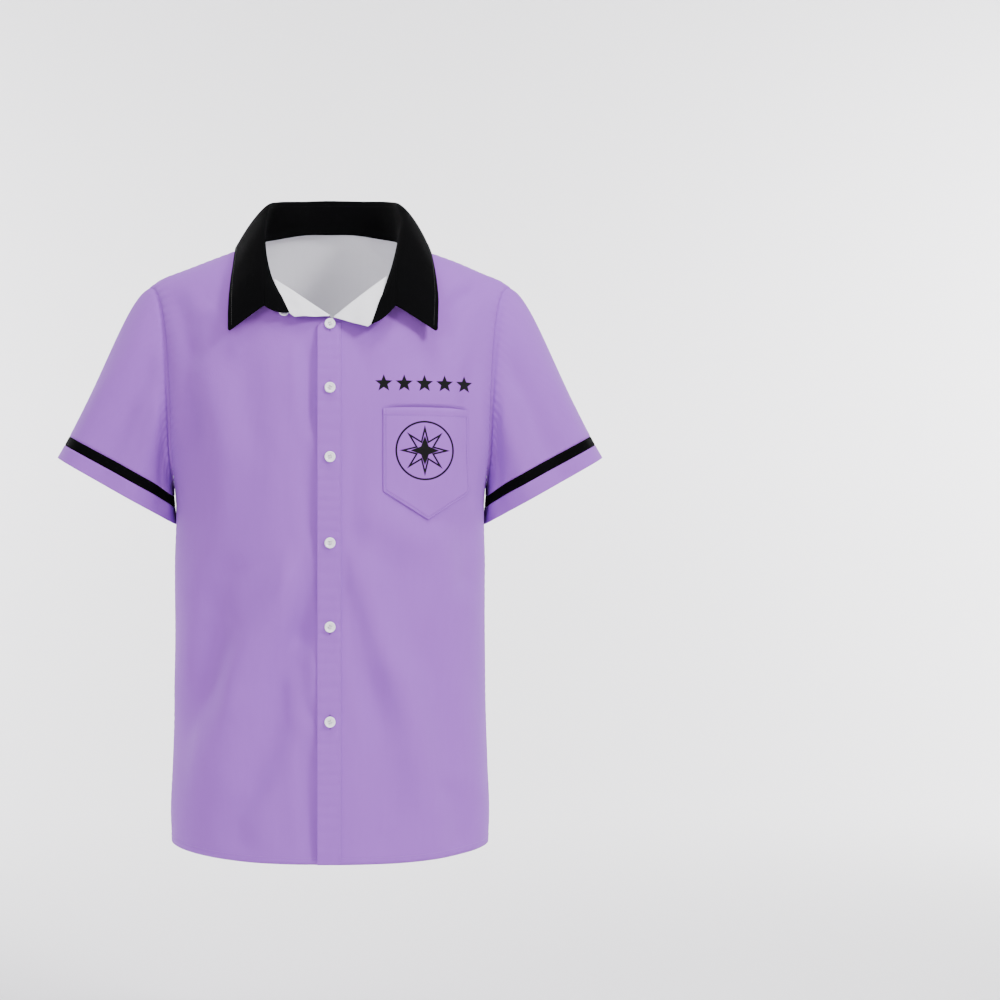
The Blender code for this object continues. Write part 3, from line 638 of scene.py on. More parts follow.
def shell(
    name: str,
    grids: Sequence[Array],
    outward: Sequence[float],
    finishes: Sequence[Finish],
    wall: float = SHELL,
) -> Piece:
    """A thin closed shell: the sheet is its outer face, and the wall grows inward from it.

    Args:
        name: the piece's name.
        grids: the outer face.
        outward: a direction on the outer side.
        finishes: the outer face's material, then the inner face's.
        wall: the cloth's thickness.

    Returns:
        The piece.
    """
    piece = place_piece(name, joined(grids, outward), finishes)
    solidify = piece.modifiers.new("wall", "SOLIDIFY")
    solidify.thickness = wall
    solidify.offset = -1.0
    solidify.use_even_offset = False
    solidify.use_quality_normals = True
    solidify.material_offset = len(finishes) - 1
    return piece


def closed_piece(name: str, points: Array, faces: list[list[int]], finish: Finish) -> Piece:
    """A piece of closed forms in one finish, with its faces turned outward."""
    mesh = bpy.data.meshes.new("closed")
    mesh.from_pydata(points.tolist(), [], faces)
    bm = bmesh.new()
    bm.from_mesh(mesh)
    bpy.data.meshes.remove(mesh)
    bmesh.ops.recalc_face_normals(bm, faces=bm.faces)
    return place_piece(name, bm, [finish])


def tube(path: Array, radius: Array | float, sides: int) -> tuple[Array, Array]:
    """A closed tube along each of many paths at once.

    A ring of points stands square to the path at each of its points, and the two ends are pinched by
    their radius.

    Args:
        path: paths by points by 3.
        radius: one radius, or one for each point of a path.
        sides: points in each ring.

    Returns:
        The tube's points and its faces as quads.
    """
    count, length = path.shape[:2]
    along = unit(np.gradient(path, axis=1))
    side = unit(np.cross(along, np.broadcast_to(ASIDE, along.shape)))
    rise = np.cross(side, along)
    spin = np.linspace(0.0, 2 * math.pi, sides, endpoint=False)[None, None, :, None]
    radius = np.broadcast_to(radius, (count, length))[..., None, None]
    ring = side[:, :, None] * np.cos(spin) + rise[:, :, None] * np.sin(spin)
    points = path[:, :, None] + ring * radius
    index = np.arange(count * length * sides).reshape(count, length, sides)
    turned = np.roll(index, -1, axis=2)
    quads = np.stack([index[:, :-1], turned[:, :-1], turned[:, 1:], index[:, 1:]], axis=-1).reshape(-1, 4)
    return points.reshape(-1, 3), quads


def tube_piece(name: str, paths: Array, radius: Array | float, sides: int, finish: Finish) -> Piece:
    """A piece made of closed tubes, with their ends capped.

    Args:
        name: the piece's name.
        paths: paths by points by 3.
        radius: one radius, or one for each point of a path.
        sides: points round each tube.
        finish: its material.

    Returns:
        The piece.
    """
    points, quads = tube(paths, radius, sides)
    count, length = paths.shape[:2]
    index = np.arange(count * length * sides).reshape(count, length, sides)
    caps = np.concatenate([index[:, 0, ::-1], index[:, -1]]).tolist()
    return closed_piece(name, points, quads.tolist() + caps, finish)


@dataclass(frozen=True)
class Stitching:
    """Lockstitch: separate raised stitches that dip into the cloth at both ends."""

    pitch: float = 0.0030
    length: float = 0.0024
    radius: float = 0.00022
    arch: float = 0.9
    sink: float = 0.35
    rings: int = 5
    sides: int = 5

    def paths(self, line: Array, normal: Array) -> Array:
        """Paths of all stitches on a line.

        Each stitch follows the line. Its height over the cloth, in its own widths, is the arch times 1
        less the square of its place between -1 and 1, less the sink.

        Args:
            line: points on the cloth's face.
            normal: the face's normal at each of them.

        Returns:
            Stitches by points by 3.
        """
        run = run_of(line)
        count = max(int(run[-1] / self.pitch), 1)
        centre = (np.arange(count) + 0.5) * run[-1] / count
        s = np.linspace(-1.0, 1.0, self.rings)
        at = np.clip(centre[:, None] + s[None] * self.length / 2, 0.0, run[-1])
        face = unit(read_at(at, run, normal))
        rise = ((1.0 - s ** 2) * self.arch - self.sink)[None, :, None]
        return read_at(at, run, line) + face * rise * self.radius * 2

    def sew(self, name: str, lines: Sequence[Line], finish: Finish) -> Piece:
        """One piece with the stitches of all the lines, each thinner at its ends."""
        paths = np.concatenate([self.paths(line, normal) for line, normal in lines])
        s = np.linspace(-1.0, 1.0, self.rings)
        return tube_piece(name, paths, self.radius * np.sqrt(1.0 - 0.7 * s ** 2), self.sides, finish)


# ---------------------------------------------------------------- folds
# A fold wanders to both sides of its line by this share of its width.
FOLD_WANDER = 0.35
# It dies away over a stretch that ends this far past its line's end, both in line lengths.
FOLD_FADE = 0.45
FOLD_PAST = 0.25
# The cloth beside it stands against it: how much, and how far off and how wide in fold widths.
COUNTER_WAVE = 0.22
COUNTER_OFF = 1.9
COUNTER_WIDTH = 0.8
# Folds fade over this distance before a side seam or an armhole, and before a shoulder seam.
CALM_SIDE = 0.045
CALM_SHOULDER = 0.05


@dataclass(frozen=True)
class Fold:
    """A soft trough or ridge along a straight line on the cloth, seen square on. Depth is signed."""

    x0: float
    z0: float
    x1: float
    z1: float
    width: float
    depth: float

    def height(self, x: Array, z: Array) -> Array:
        """Height of the fold: a bell across the line with a shallow counter wave, eased at both ends.

        Args:
            x: places across, seen square on.
            z: their heights.

        Returns:
            How far the cloth stands off its smooth form.
        """
        run = np.array([self.x1 - self.x0, self.z1 - self.z0])
        length = np.hypot(*run)
        run = run / length
        at = ((x - self.x0) * run[0] + (z - self.z0) * run[1]) / length
        off = ((x - self.x0) * run[1] - (z - self.z0) * run[0]) / self.width
        off = off + FOLD_WANDER * np.sin(at * 3.1 + self.x0 * 90.0)
        taper = ease((at + FOLD_PAST) / FOLD_FADE) * ease((1.0 + FOLD_PAST - at) / FOLD_FADE)
        wave = bell(off, 1.0) - COUNTER_WAVE * bell(np.abs(off) - COUNTER_OFF, COUNTER_WIDTH)
        return self.depth * wave * taper


@dataclass(frozen=True)
class Swell:
    """A slow unevenness of the whole cloth: three crossed sines, whose numbers are set apart."""

    height: float
    wave: float
    seed: float

    def read(self, x: Array, z: Array) -> Array:
        """Height at each place."""
        k = 2 * math.pi / self.wave
        a = np.sin(k * (x * 0.9 + z * 0.35) + self.seed)
        b = np.sin(k * (x * 0.5 - z * 0.62) * 1.31 + 2.1 * self.seed)
        c = np.sin(k * (x * 1.7 + z * 0.12) * 0.83 + 0.7 + self.seed)
        return self.height * (a + b + 0.8 * c) / 2.8


# Troughs and ridges of the front. Positive X is the wearer's left front.
FRONT_FOLDS = (
    Fold(-0.115, -0.381, -0.132, -0.440, 0.017, -0.0055),
    Fold(-0.132, -0.440, -0.166, -0.592, 0.018, -0.0075),
    Fold(-0.046, -0.387, -0.105, -0.536, 0.021, 0.0081),
    Fold(-0.105, -0.536, -0.132, -0.643, 0.021, 0.0075),
    Fold(-0.030, -0.455, -0.059, -0.541, 0.015, -0.0060),
    Fold(-0.059, -0.541, -0.089, -0.655, 0.017, -0.0062),
    Fold(0.031, -0.381, 0.075, -0.511, 0.02, 0.0073),
    Fold(0.075, -0.511, 0.098, -0.643, 0.02, 0.0078),
    Fold(0.021, -0.432, 0.064, -0.566, 0.013, -0.0032),
    Fold(0.112, -0.472, 0.141, -0.615, 0.018, -0.0032),
    Fold(0.149, -0.335, 0.168, -0.415, 0.018, -0.0068),
    Fold(0.171, -0.060, 0.131, -0.110, 0.012, -0.0052),
    Fold(0.170, -0.142, 0.160, -0.284, 0.013, -0.0047),
    Fold(0.025, -0.227, 0.031, -0.364, 0.012, -0.0029),
    Fold(0.048, -0.313, 0.116, -0.376, 0.022, 0.0039),
    Fold(0.084, -0.620, 0.059, -0.712, 0.017, -0.0044),
    Fold(-0.166, -0.136, -0.162, -0.244, 0.015, -0.0044),
    Fold(-0.132, -0.193, -0.116, -0.347, 0.024, 0.0042),
    Fold(-0.096, -0.142, -0.089, -0.256, 0.018, -0.0029),
    Fold(-0.071, -0.221, -0.078, -0.358, 0.02, 0.0031),
    Fold(-0.019, -0.136, -0.023, -0.227, 0.01, -0.0055),
    Fold(-0.022, -0.261, -0.024, -0.358, 0.009, -0.0029),
    Fold(-0.025, -0.381, -0.033, -0.478, 0.011, -0.0052),
    Fold(-0.031, -0.495, -0.024, -0.563, 0.01, -0.0044),
    Fold(-0.021, -0.592, -0.024, -0.712, 0.01, -0.0039),
    Fold(-0.155, -0.472, -0.160, -0.655, 0.015, 0.0039),
    Fold(-0.192, -0.076, -0.153, -0.144, 0.013, -0.0047),
    Fold(-0.141, -0.085, -0.112, -0.136, 0.014, 0.0031),
    Fold(-0.107, -0.655, -0.096, -0.712, 0.016, -0.0039),
    Fold(0.139, -0.643, 0.150, -0.712, 0.017, -0.0052),
    Fold(0.107, -0.119, 0.048, -0.144, 0.016, 0.0026),
    Fold(0.072, -0.207, 0.150, -0.207, 0.0022, -0.0022),
)
BACK_FOLDS = (
    Fold(0.1420, -0.330, 0.1360, -0.700, 0.014, -0.0090),
    Fold(0.1180, -0.420, 0.1120, -0.700, 0.016, 0.0060),
    Fold(-0.1400, -0.360, -0.1320, -0.690, 0.015, -0.0080),
    Fold(-0.1120, -0.500, -0.1080, -0.715, 0.016, 0.0060),
    Fold(-0.0700, -0.585, 0.0500, -0.600, 0.016, 0.0060),
    Fold(-0.0600, -0.635, 0.0700, -0.645, 0.015, -0.0060),
    Fold(0.0450, -0.470, 0.1000, -0.560, 0.015, -0.0050),
    Fold(-0.1500, -0.110, -0.1150, -0.180, 0.012, -0.0044),
    Fold(0.1500, -0.110, 0.1180, -0.190, 0.012, -0.0044),
    Fold(-0.0200, -0.330, -0.0850, -0.420, 0.018, -0.0040),
    Fold(0.0200, -0.320, 0.0750, -0.400, 0.018, -0.0036),
)


# ---------------------------------------------------------------- the body form
@dataclass(frozen=True)
class Level:
    """One level of the body form: half its width, and its depth in front and behind. Metres."""

    level: float
    half_width: float
    front_depth: float
    back_depth: float


@dataclass
class BodyForm:
    """The smooth form that the fronts and the back lie on.

    A point has a turn, the angle round the body from the centre line, and a level: its true height up to
    the chest, and above that the angle over the shoulder, down to 0 on the shoulder ridge.
    """

    hem_z: float = -0.7262
    hem_side_lift: float = 0.0105
    hem_side_power: float = 2.4
    hem_lift_z: float = -0.64
    hem_lift_reach: float = 0.085
    underarm_z: float = -0.2930
    chest_z: float = -0.2000
    neck_side_x: float = 0.0816
    tip_x: float = 0.2196
    tip_z: float = -0.0590
    shoulder_slope: float = 0.385
    shoulder_round_x: float = 0.1950
    nape_rise: float = 0.0532
    nape_spread: float = 0.0830
    nape_power: float = 2.35
    nape_y: float = 0.0705
    squareness: float = 2.4
    armhole_round: float = 2.2
    armhole_power: float = 1.5
    armhole_bow: dict[Face, float] = field(default_factory=lambda: {Face.FRONT: 0.47, Face.BACK: 0.50})
    neck_drop: float = 0.0540
    neck_inset: float = 0.0141
    neck_power: float = 1.5
    levels: tuple[Level, ...] = (
        Level(-0.7300, 0.1886, 0.1350, 0.1250),
        Level(-0.6900, 0.1900, 0.1345, 0.1235),
        Level(-0.6200, 0.1880, 0.1335, 0.1170),
        Level(-0.5500, 0.1860, 0.1318, 0.1100),
        Level(-0.4700, 0.1850, 0.1305, 0.1055),
        Level(-0.3900, 0.1853, 0.1300, 0.1080),
        Level(-0.2930, 0.1862, 0.1275, 0.1150),
        Level(-0.2500, 0.1950, 0.1245, 0.1170),
        Level(-0.2000, 0.2020, 0.1195, 0.1180),
        Level(-0.1500, 0.2078, 0.1110, 0.1170),
        Level(-0.1000, 0.2130, 0.1075, 0.1150),
        Level(-0.0500, 0.2172, 0.1060, 0.1120),
        Level(0.0000, 0.2196, 0.1050, 0.1100),
    )

    def ridge(self, x: Array) -> Array:
        """Height of the shoulder ridge: a parabola inside the neck, straight, then rounded to the tip."""
        inside = -self.shoulder_slope * (x ** 2 - self.neck_side_x ** 2) / (2 * self.neck_side_x)
        straight = -self.shoulder_slope * (np.abs(x) - self.neck_side_x)
        z = np.where(np.abs(x) < self.neck_side_x, inside, straight)
        rest = self.tip_z + self.shoulder_slope * (self.tip_x - self.neck_side_x)
        past = np.clip(np.abs(x) - self.shoulder_round_x, 0.0, 1.0) / (self.tip_x - self.shoulder_round_x)
        return z + rest * past ** 2

    def point(self, turn: Array, level: Array, face: Face) -> Array:
        """Points of the form.

        Each level is a rounded rectangle, a superellipse of the form's squareness. Above the chest the
        depth shrinks with the cosine of the angle over the shoulder, and the height grows to the ridge
        with its sine. The back rises to the nape, and the hem rises a little at the sides.

        Args:
            turn: angles round the body from the centre line.
            level: levels, as the class says.
            face: the front or the back.

        Returns:
            The points.
        """
        depth = column(self.levels, "level", face.name.lower() + "_depth", level)
        power = 2.0 / self.squareness
        half_width = column(self.levels, "level", "half_width", level)
        x = half_width * np.sign(turn) * np.abs(np.sin(turn)) ** power
        over = np.clip(1.0 - level / self.chest_z, 0.0, 1.0) * math.pi / 2
        y = face.value * depth * np.abs(np.cos(turn)) ** power * np.cos(over)
        shoulder = self.chest_z + (self.ridge(x) - self.chest_z) * np.sin(over)
        z = np.where(level < self.chest_z, level, shoulder)
        if face is Face.BACK:
            nape = np.exp(-(np.abs(x / self.nape_spread) ** self.nape_power))
            z = z + self.nape_rise * nape * np.sin(2 * over)
        sideways = self.hem_side_lift * np.abs(np.sin(turn)) ** self.hem_side_power
        z = z + sideways * ease((self.hem_lift_z - level) / self.hem_lift_reach)
        return np.stack([x, y, z], axis=-1)

    def place(self, x: Array, z: Array) -> tuple[Array, Array]:
        """The turn and the level of the front point that is seen at x and z: point() worked backward."""
        rise = np.clip((z - self.chest_z) / (self.ridge(x) - self.chest_z), 0.0, 1.0)
        level = np.where(z < self.chest_z, z, self.chest_z * (1.0 - np.arcsin(rise) * 2 / math.pi))
        share = np.clip(np.abs(x) / column(self.levels, "level", "half_width", level), 0.0, 1.0)
        return np.sign(x) * np.arcsin(share ** (self.squareness / 2)), level

    def armhole(self, part: Array, face: Face) -> tuple[Array, Array]:
        """Turn and level on the armhole, part 0 at the underarm and 1 at the shoulder tip."""
        q = part ** self.armhole_power
        n = self.armhole_round
        bow = self.armhole_bow[face] * (1.0 - np.abs(2 * q - 1) ** n) ** (1 / n)
        return np.arccos(bow ** (self.squareness / 2)), self.underarm_z * (1.0 - q)

    def neck_front(self, z: Array) -> Array:
        """Distance of the front neckline from the centre line at a height."""
        return self.neck_side_x - self.neck_inset * (-z / self.neck_drop) ** self.neck_power

    def neck_back(self, part: Array) -> tuple[Array, Array]:
        """Turn and level on the back neckline, an oval from above; part 0 at the nape, 1 at the side.

        The level whose depth matches the oval's is found by repeating the sum twelve times.
        """
        x = self.neck_side_x * np.sin(part * math.pi / 2)
        y = self.nape_y * np.cos(part * math.pi / 2)
        level = np.full_like(x, self.chest_z / 2)
        turn = np.zeros_like(x)
        for _ in range(12):
            share = x / column(self.levels, "level", "half_width", level)
            turn = np.arcsin(np.clip(share, 0.0, 1.0) ** (self.squareness / 2))
            depth = column(self.levels, "level", "back_depth", level) * np.cos(turn) ** (2 / self.squareness)
            level = self.chest_z * (1.0 - np.arccos(np.clip(y / depth, 0.0, 1.0)) * 2 / math.pi)
        return turn, level


@dataclass(frozen=True)
class Seams:
    """How cloth dips into a sewn seam and puckers beside it, and is pressed flat at the shoulder tip."""

    dip: float = 0.0016
    dip_width: float = 0.0026
    pucker: float = 0.0005
    pucker_pitch: float = 0.0105
    pucker_reach: float = 0.012
    flat_beside: float = 0.003
    tip_reach: float = 0.018
    tip_pressed: float = 0.75

    def height(self, away: Array, run: Array) -> Array:
        """Height near a seam, from the distance to it and the length run along it.

        The dip is a bell on the seam. The puckers are a sine along it, whose pitch drifts, and which fades
        away from it.
        """
        wave = np.sin(2 * math.pi * run / self.pucker_pitch + 0.8 * np.sin(run * 61.0))
        fade = np.exp(-away / self.pucker_reach) * ease(away / self.flat_beside)
        return -self.dip * bell(away, self.dip_width) + self.pucker * wave * fade

    def calm(self, grid: Array, tip: Array) -> Array:
        """How much of the dip is left near the shoulder tip, where three seams meet and are pressed flat."""
        return 1.0 - self.tip_pressed * bell(np.linalg.norm(grid - tip, axis=-1), self.tip_reach)

    def crossing(self, base: Array, away: Array, run: Array) -> Array:
        """Dips of a body piece into its outer seam and its shoulder seam, flatter where they meet."""
        shoulder_away, shoulder_run = beside(base, last_column=False, from_top=True)
        both = self.height(away, run) + self.height(shoulder_away, shoulder_run)
        return both * self.calm(base, base[-1, -1])


@dataclass(frozen=True)
class GridRows:
    """How many rows and columns each stretch of the cloth grids has."""

    body: int = 90
    chest: int = 48
    corner: int = 18
    roll: int = 42
    neck: int = 36
    front_columns: int = 92
    back_columns: int = 78

    @property
    def upper(self) -> int:
        """Rows from the underarm to the shoulder."""
        return self.chest + self.corner + self.roll + self.neck


@dataclass(frozen=True)
class Hem:
    """The narrow turned hem: a thicker band that ends at a sunk line of stitches."""

    depth: float = 0.0075
    rise: float = 0.0004
    step: float = 0.0016
    groove: float = 0.0004
    groove_width: float = 0.0011

    def height(self, up: Array) -> Array:
        """Height near the hem from the distance above it: a step at the stitches and a groove beside it."""
        turned = self.rise * (1.0 - ease((up - self.depth) / self.step))
        return turned - self.groove * bell(up - self.depth, self.groove_width)


# ---------------------------------------------------------------- fronts
@dataclass(frozen=True)
class Lapel:
    """The part of a front that folds out: where its roll line runs and how far it lies open."""

    foot_x: float
    foot_z: float
    top_z: float
    corner_along: float
    width: float
    turn_deg: float
    blunt: float


LAPELS = {
    Half.LEFT: Lapel(0.0055, -0.1060, -0.0540, 0.24, 0.0445, 165.0, 0.08),
    Half.RIGHT: Lapel(0.0015, -0.1033, -0.0585, 0.42, 0.0335, 165.0, 0.12),
}


@dataclass
class Front:
    """One front with its folded-out lapel. It is worked out as if on the wearer's left, then mirrored."""

    form: BodyForm
    half: Half
    rows: GridRows
    seams: Seams
    hem: Hem
    edge_x: float = -0.0145
    edge_corner_z: float = -0.1140
    roll_radius: float = 0.0025
    roll_steps: int = 14
    flat_steps: int = 24
    curl: float = 0.0022
    ripple: float = 0.0008
    under_collar: float = 0.62
    pressed: float = 0.70
    collar_gap: float = 0.0015
    strip_x: float = 0.014
    strip_fade: float = 0.012
    lap: float = 0.0021
    lap_x: float = 0.018
    lap_fade: float = 0.035
    swell: Swell = Swell(0.0009, 0.105, 0.6)

    @property
    def lapel(self) -> Lapel:
        """This front's lapel."""
        return LAPELS[self.half]

    def inner_edge(self) -> tuple[Array, Array]:
        """Turn and level along the free edge, the round corner, the roll line and the neckline."""
        lapel, rows = self.lapel, self.rows
        free = np.concatenate([
            np.linspace(self.form.hem_z, self.form.underarm_z, rows.body + 1)[:-1],
            np.linspace(self.form.underarm_z, self.edge_corner_z, rows.chest + 1)[:-1],
        ])
        swing = np.linspace(0.0, math.pi / 2, rows.corner + 1)[:-1]
        corner_x = lapel.foot_x - (lapel.foot_x - self.edge_x) * np.cos(swing)
        corner_z = mixed(self.edge_corner_z, lapel.foot_z, np.sin(swing))
        roll = shares(rows.roll)[:-1]
        top_x = self.form.neck_front(lapel.top_z)
        neck_z = lapel.top_z * (1.0 - shares(rows.neck)) ** 2
        x = np.concatenate([
            np.full(len(free), self.edge_x), corner_x, mixed(lapel.foot_x, top_x, roll),
            self.form.neck_front(neck_z),
        ])
        z = np.concatenate([free, corner_z, mixed(lapel.foot_z, lapel.top_z, roll), neck_z])
        return self.form.place(x, z)

    def height(self, x: Array, z: Array) -> Array:
        """Height of the folds, the slow unevenness and, on the left, the lift over the right front.

        On the left no fold runs on under the button strip, and the lift dies away outside it.
        """
        real_x = x * self.half.value
        height = sum(fold.height(real_x, z) for fold in FRONT_FOLDS) + self.swell.read(real_x, z)
        if self.half is Half.LEFT:
            height = height * ease((x - self.strip_x) / self.strip_fade)
            height = height + self.lap * (1.0 - ease((x - self.lap_x) / self.lap_fade))
        return height

    def grid(self) -> tuple[Array, Array]:
        """Points and normals of the outer face.

        Rows run evenly from the inner edge to the side seam and the armhole. The heights of folds, seams
        and hem are added along the form's normals.
        """
        outer = outer_edge(self.form, self.rows, Face.FRONT)
        base = self.form.point(*ruled(self.inner_edge(), outer, self.rows.front_columns), Face.FRONT)
        normal = seam_square(facing(base, (0.3, -1.0, 0.3)), base)
        away, run = beside(base, last_column=True)
        up, _ = beside(base, last_column=False)
        height = self.height(base[..., 0], base[..., 2]) * ease(away / CALM_SIDE) + self.hem.height(up)
        return base + normal * (height + self.seams.crossing(base, away, run))[..., None], normal

    def fold_out(self, front: Array, normal: Array) -> Array:
        """The lapel: the cloth rolls over the roll line on a small radius, then lies straight.

        A distance d past the roll line is first an angle d / radius on the roll, up to the lapel's turn,
        and then a straight run that curls a little. The rows draw in toward the corner as d grows. Two
        crossed sines ripple the flat part, and the part under the collar is pressed down.
        """
        lapel = self.lapel
        start = self.rows.body + self.rows.chest + self.rows.corner
        line = front[start:start + self.rows.roll + 1, 0]
        face = unit(normal[start:start + self.rows.roll + 1, 0])
        t = shares(self.rows.roll)
        away = unit(np.cross(unit(np.gradient(line, axis=0)), face))
        flip = np.sum(away * np.array([-0.6, 0.0, 0.8]), axis=1, keepdims=True) < 0
        away = np.where(flip, -away, away)
        turn_max = math.radians(lapel.turn_deg)
        bend = self.roll_radius * np.linspace(0.0, turn_max, self.roll_steps + 1)
        d = np.concatenate([bend, np.linspace(bend[-1], lapel.width, self.flat_steps + 1)[1:]])[:, None]
        flat = np.maximum(d - bend[-1], 0.0) / (lapel.width - bend[-1])
        at = lapel.corner_along + (t[None] - lapel.corner_along) * (1.0 - (1.0 - lapel.blunt) * flat)
        p, a, n = (read_at(at, t, rows) for rows in (line, away, face))
        turned = np.minimum(d / self.roll_radius, turn_max)[..., None]
        rest = np.maximum(d - self.roll_radius * turn_max, 0.0)[..., None]
        curl = self.curl * (rest / lapel.width) ** 2
        out = self.roll_radius * np.sin(turned) + rest * math.cos(turn_max)
        off = self.roll_radius * (1.0 - np.cos(turned)) + rest * math.sin(turn_max) - curl
        wave = np.sin(2 * math.pi * (2.3 * at + 0.7 * flat) + 0.6)
        wave = wave + 0.5 * np.sin(2 * math.pi * (1.1 * at - 1.4 * flat))
        off = off + (self.ripple * wave * ease(flat / 0.35) * ease((0.92 - at) / 0.25))[..., None]
        under = ease((at - self.under_collar) / (1.0 - self.under_collar))[..., None]
        low = 1.0 - self.pressed * under * (1.0 - 0.6 * ease(d / lapel.width))[..., None]
        return p + unit(a) * out + unit(n) * off * low

    def surface(self, x: Array, z: Array) -> tuple[Array, Array]:
        """The outer face as it is seen square on, for what lies on the left front.

        Args:
            x: places from the centre line.
            z: their heights.

        Returns:
            The points, and the face's normals, tilted by the slope of the folds.
        """
        def at(px: Array, pz: Array) -> Array:
            """The smooth form's point seen there."""
            return self.form.point(*self.form.place(px, pz), Face.FRONT)

        step = 0.0008
        flat = unit(np.cross(at(x + step, z) - at(x - step, z), at(x, z + step) - at(x, z - step)))
        base = at(x, z) + flat * self.height(x, z)[..., None]
        slope_x = (self.height(x + step, z) - self.height(x - step, z)) / (2 * step)
        slope_z = (self.height(x, z + step) - self.height(x, z - step)) / (2 * step)
        tilt = np.stack([slope_x, np.zeros_like(slope_x), slope_z], axis=-1)
        return base, unit(flat - tilt)

    def build(self, print_side: Finish, reverse: Finish) -> tuple[Piece, Array, Array, Array]:
        """Make the front as one shell with its lapel.

        Args:
            print_side: the outer face's finish.
            reverse: the inner face's finish, which the folded-out lapel shows.

        Returns:
            The piece, its outer face, that face's normals, and the edge on which the collar is sewn.
        """
        grid, normal = self.grid()
        fold = self.fold_out(grid, normal)
        mirror = MIRROR if self.half is Half.RIGHT else np.ones(3)
        name, grids = f"shirt_front_{self.half.word}", [grid * mirror, fold * mirror]
        piece = shell(name, grids, (0, -1, 0), [print_side, reverse])
        flats = fold[self.roll_steps + self.flat_steps // 4 * np.arange(1, 5), -1]
        seam = np.concatenate([fold[:1, -1], flats])
        rise = ease(np.linspace(0.0, 1.0, len(seam)) * 3)[:, None]
        seam = seam + unit(np.array([0.1, -1.0, 0.25])) * self.collar_gap * rise
        return piece, grid * mirror, normal * mirror, seam


def outer_edge(form: BodyForm, rows: GridRows, face: Face) -> tuple[Array, Array]:
    """Turn and level along the side seam and the armhole, from the hem to the shoulder tip."""
    seam = np.linspace(form.hem_z, form.underarm_z, rows.body + 1)[:-1]
    turn, level = form.armhole(shares(rows.upper), face)
    return np.concatenate([np.full(len(seam), math.pi / 2), turn]), np.concatenate([seam, level])


def ruled(inner: tuple[Array, Array], outer: tuple[Array, Array], columns: int) -> tuple[Array, Array]:
    """Turn and level of a grid whose rows run evenly from the inner edge to the outer edge."""
    s = shares(columns)[None, :]
    return mixed(inner[0][:, None], outer[0][:, None], s), mixed(inner[1][:, None], outer[1][:, None], s)


def seam_square(normal: Array, base: Array) -> Array:
    """Normals made square to Y on the seams in the plane Y = 0, so that both pieces dip alike."""
    on_seam = np.abs(base[..., 1:2]) < 1e-6
    return unit(np.where(on_seam, normal * np.array([1.0, 0.0, 1.0]), normal))


def beside(grid: Array, last_column: bool, from_top: bool = False) -> tuple[Array, Array]:
    """Distance from one edge of a grid to each of its points, along the grid, and the run on that edge.

    Args:
        grid: the points.
        last_column: the edge is the last column; otherwise it is the first row.
        from_top: the edge is the last row instead of the first.

    Returns:
        The distance, and the length along the edge, both for every point.
    """
    axis = 1 if last_column else 0
    steps = np.linalg.norm(np.diff(grid, axis=axis), axis=-1)
    pad = [(0, 0), (0, 0)]
    if last_column or from_top:
        pad[axis] = (0, 1)
        steps = np.pad(steps, pad)
        away = np.flip(np.cumsum(np.flip(steps, axis), axis), axis)
    else:
        pad[axis] = (1, 0)
        away = np.cumsum(np.pad(steps, pad), axis)
    edge = grid[:, -1] if last_column else grid[-1 if from_top else 0]
    run = run_of(edge)
    return away, np.broadcast_to(run[:, None] if last_column else run[None], away.shape)


def line_above(grid: Array, normal: Array, distance: float) -> tuple[Array, Array]:
    """The line on a cloth's face at one distance above its first row.

    Args:
        grid: the face's points.
        normal: its normals.
        distance: how far the line lies above the first row, along the cloth.

    Returns:
        The line and its normals.
    """
    away, _ = beside(grid, last_column=False)
    i = np.argmax(away >= distance, axis=0)
    j = np.arange(grid.shape[1])
    f = ((distance - away[i - 1, j]) / (away[i, j] - away[i - 1, j]))[:, None]
    return mixed(grid[i - 1, j], grid[i, j], f), unit(mixed(normal[i - 1, j], normal[i, j], f))


# ---------------------------------------------------------------- back
@dataclass
class Back:
    """The back in one piece, without a yoke: two mirrored halves that meet on the spine."""

    form: BodyForm
    rows: GridRows
    seams: Seams
    hem: Hem
    swell: Swell = Swell(0.0010, 0.125, 2.2)

    def halves(self) -> tuple[list[Array], list[Array]]:
        """Points and normals of the outer face of both halves, from the spine to the armhole."""
        rows = self.rows
        nape = self.form.neck_back(np.array([0.0]))[1][0]
        turn, level = self.form.neck_back(shares(rows.neck))
        spine = np.concatenate([
            np.linspace(self.form.hem_z, self.form.underarm_z, rows.body + 1)[:-1],
            np.linspace(self.form.underarm_z, nape, rows.upper - rows.neck + 1)[:-1],
        ])
        inner = (np.concatenate([np.zeros(len(spine)), turn]), np.concatenate([spine, level]))
        outer = outer_edge(self.form, rows, Face.BACK)
        base = self.form.point(*ruled(inner, outer, rows.back_columns), Face.BACK)
        normal = seam_square(facing(base, (0.3, 1.0, 0.3)), base)
        normal[:len(spine), 0, 0] = 0.0
        normal = unit(normal)
        away, run = beside(base, last_column=True)
        up, _ = beside(base, last_column=False)
        shoulder_away, _ = beside(base, last_column=False, from_top=True)
        sewn = self.hem.height(up) + self.seams.crossing(base, away, run)
        grids, normals = [], []
        for mirror in (1.0, -1.0):
            x, z = base[..., 0] * mirror, base[..., 2]
            height = sum(fold.height(x, z) for fold in BACK_FOLDS) + self.swell.read(x, z)
            height = height * ease(away / CALM_SIDE) * ease(shoulder_away / CALM_SHOULDER) + sewn
            flip = np.array([mirror, 1.0, 1.0])
            grids.append((base + normal * height[..., None]) * flip)
            normals.append(normal * flip)
        return grids, normals

    def build(self, print_side: Finish, reverse: Finish) -> tuple[Piece, list[Array], list[Array]]:
        """The back as one shell, and the outer faces and normals of its halves."""
        grids, normals = self.halves()
        return shell("shirt_back", grids, (0, 1, 0), [print_side, reverse]), grids, normals


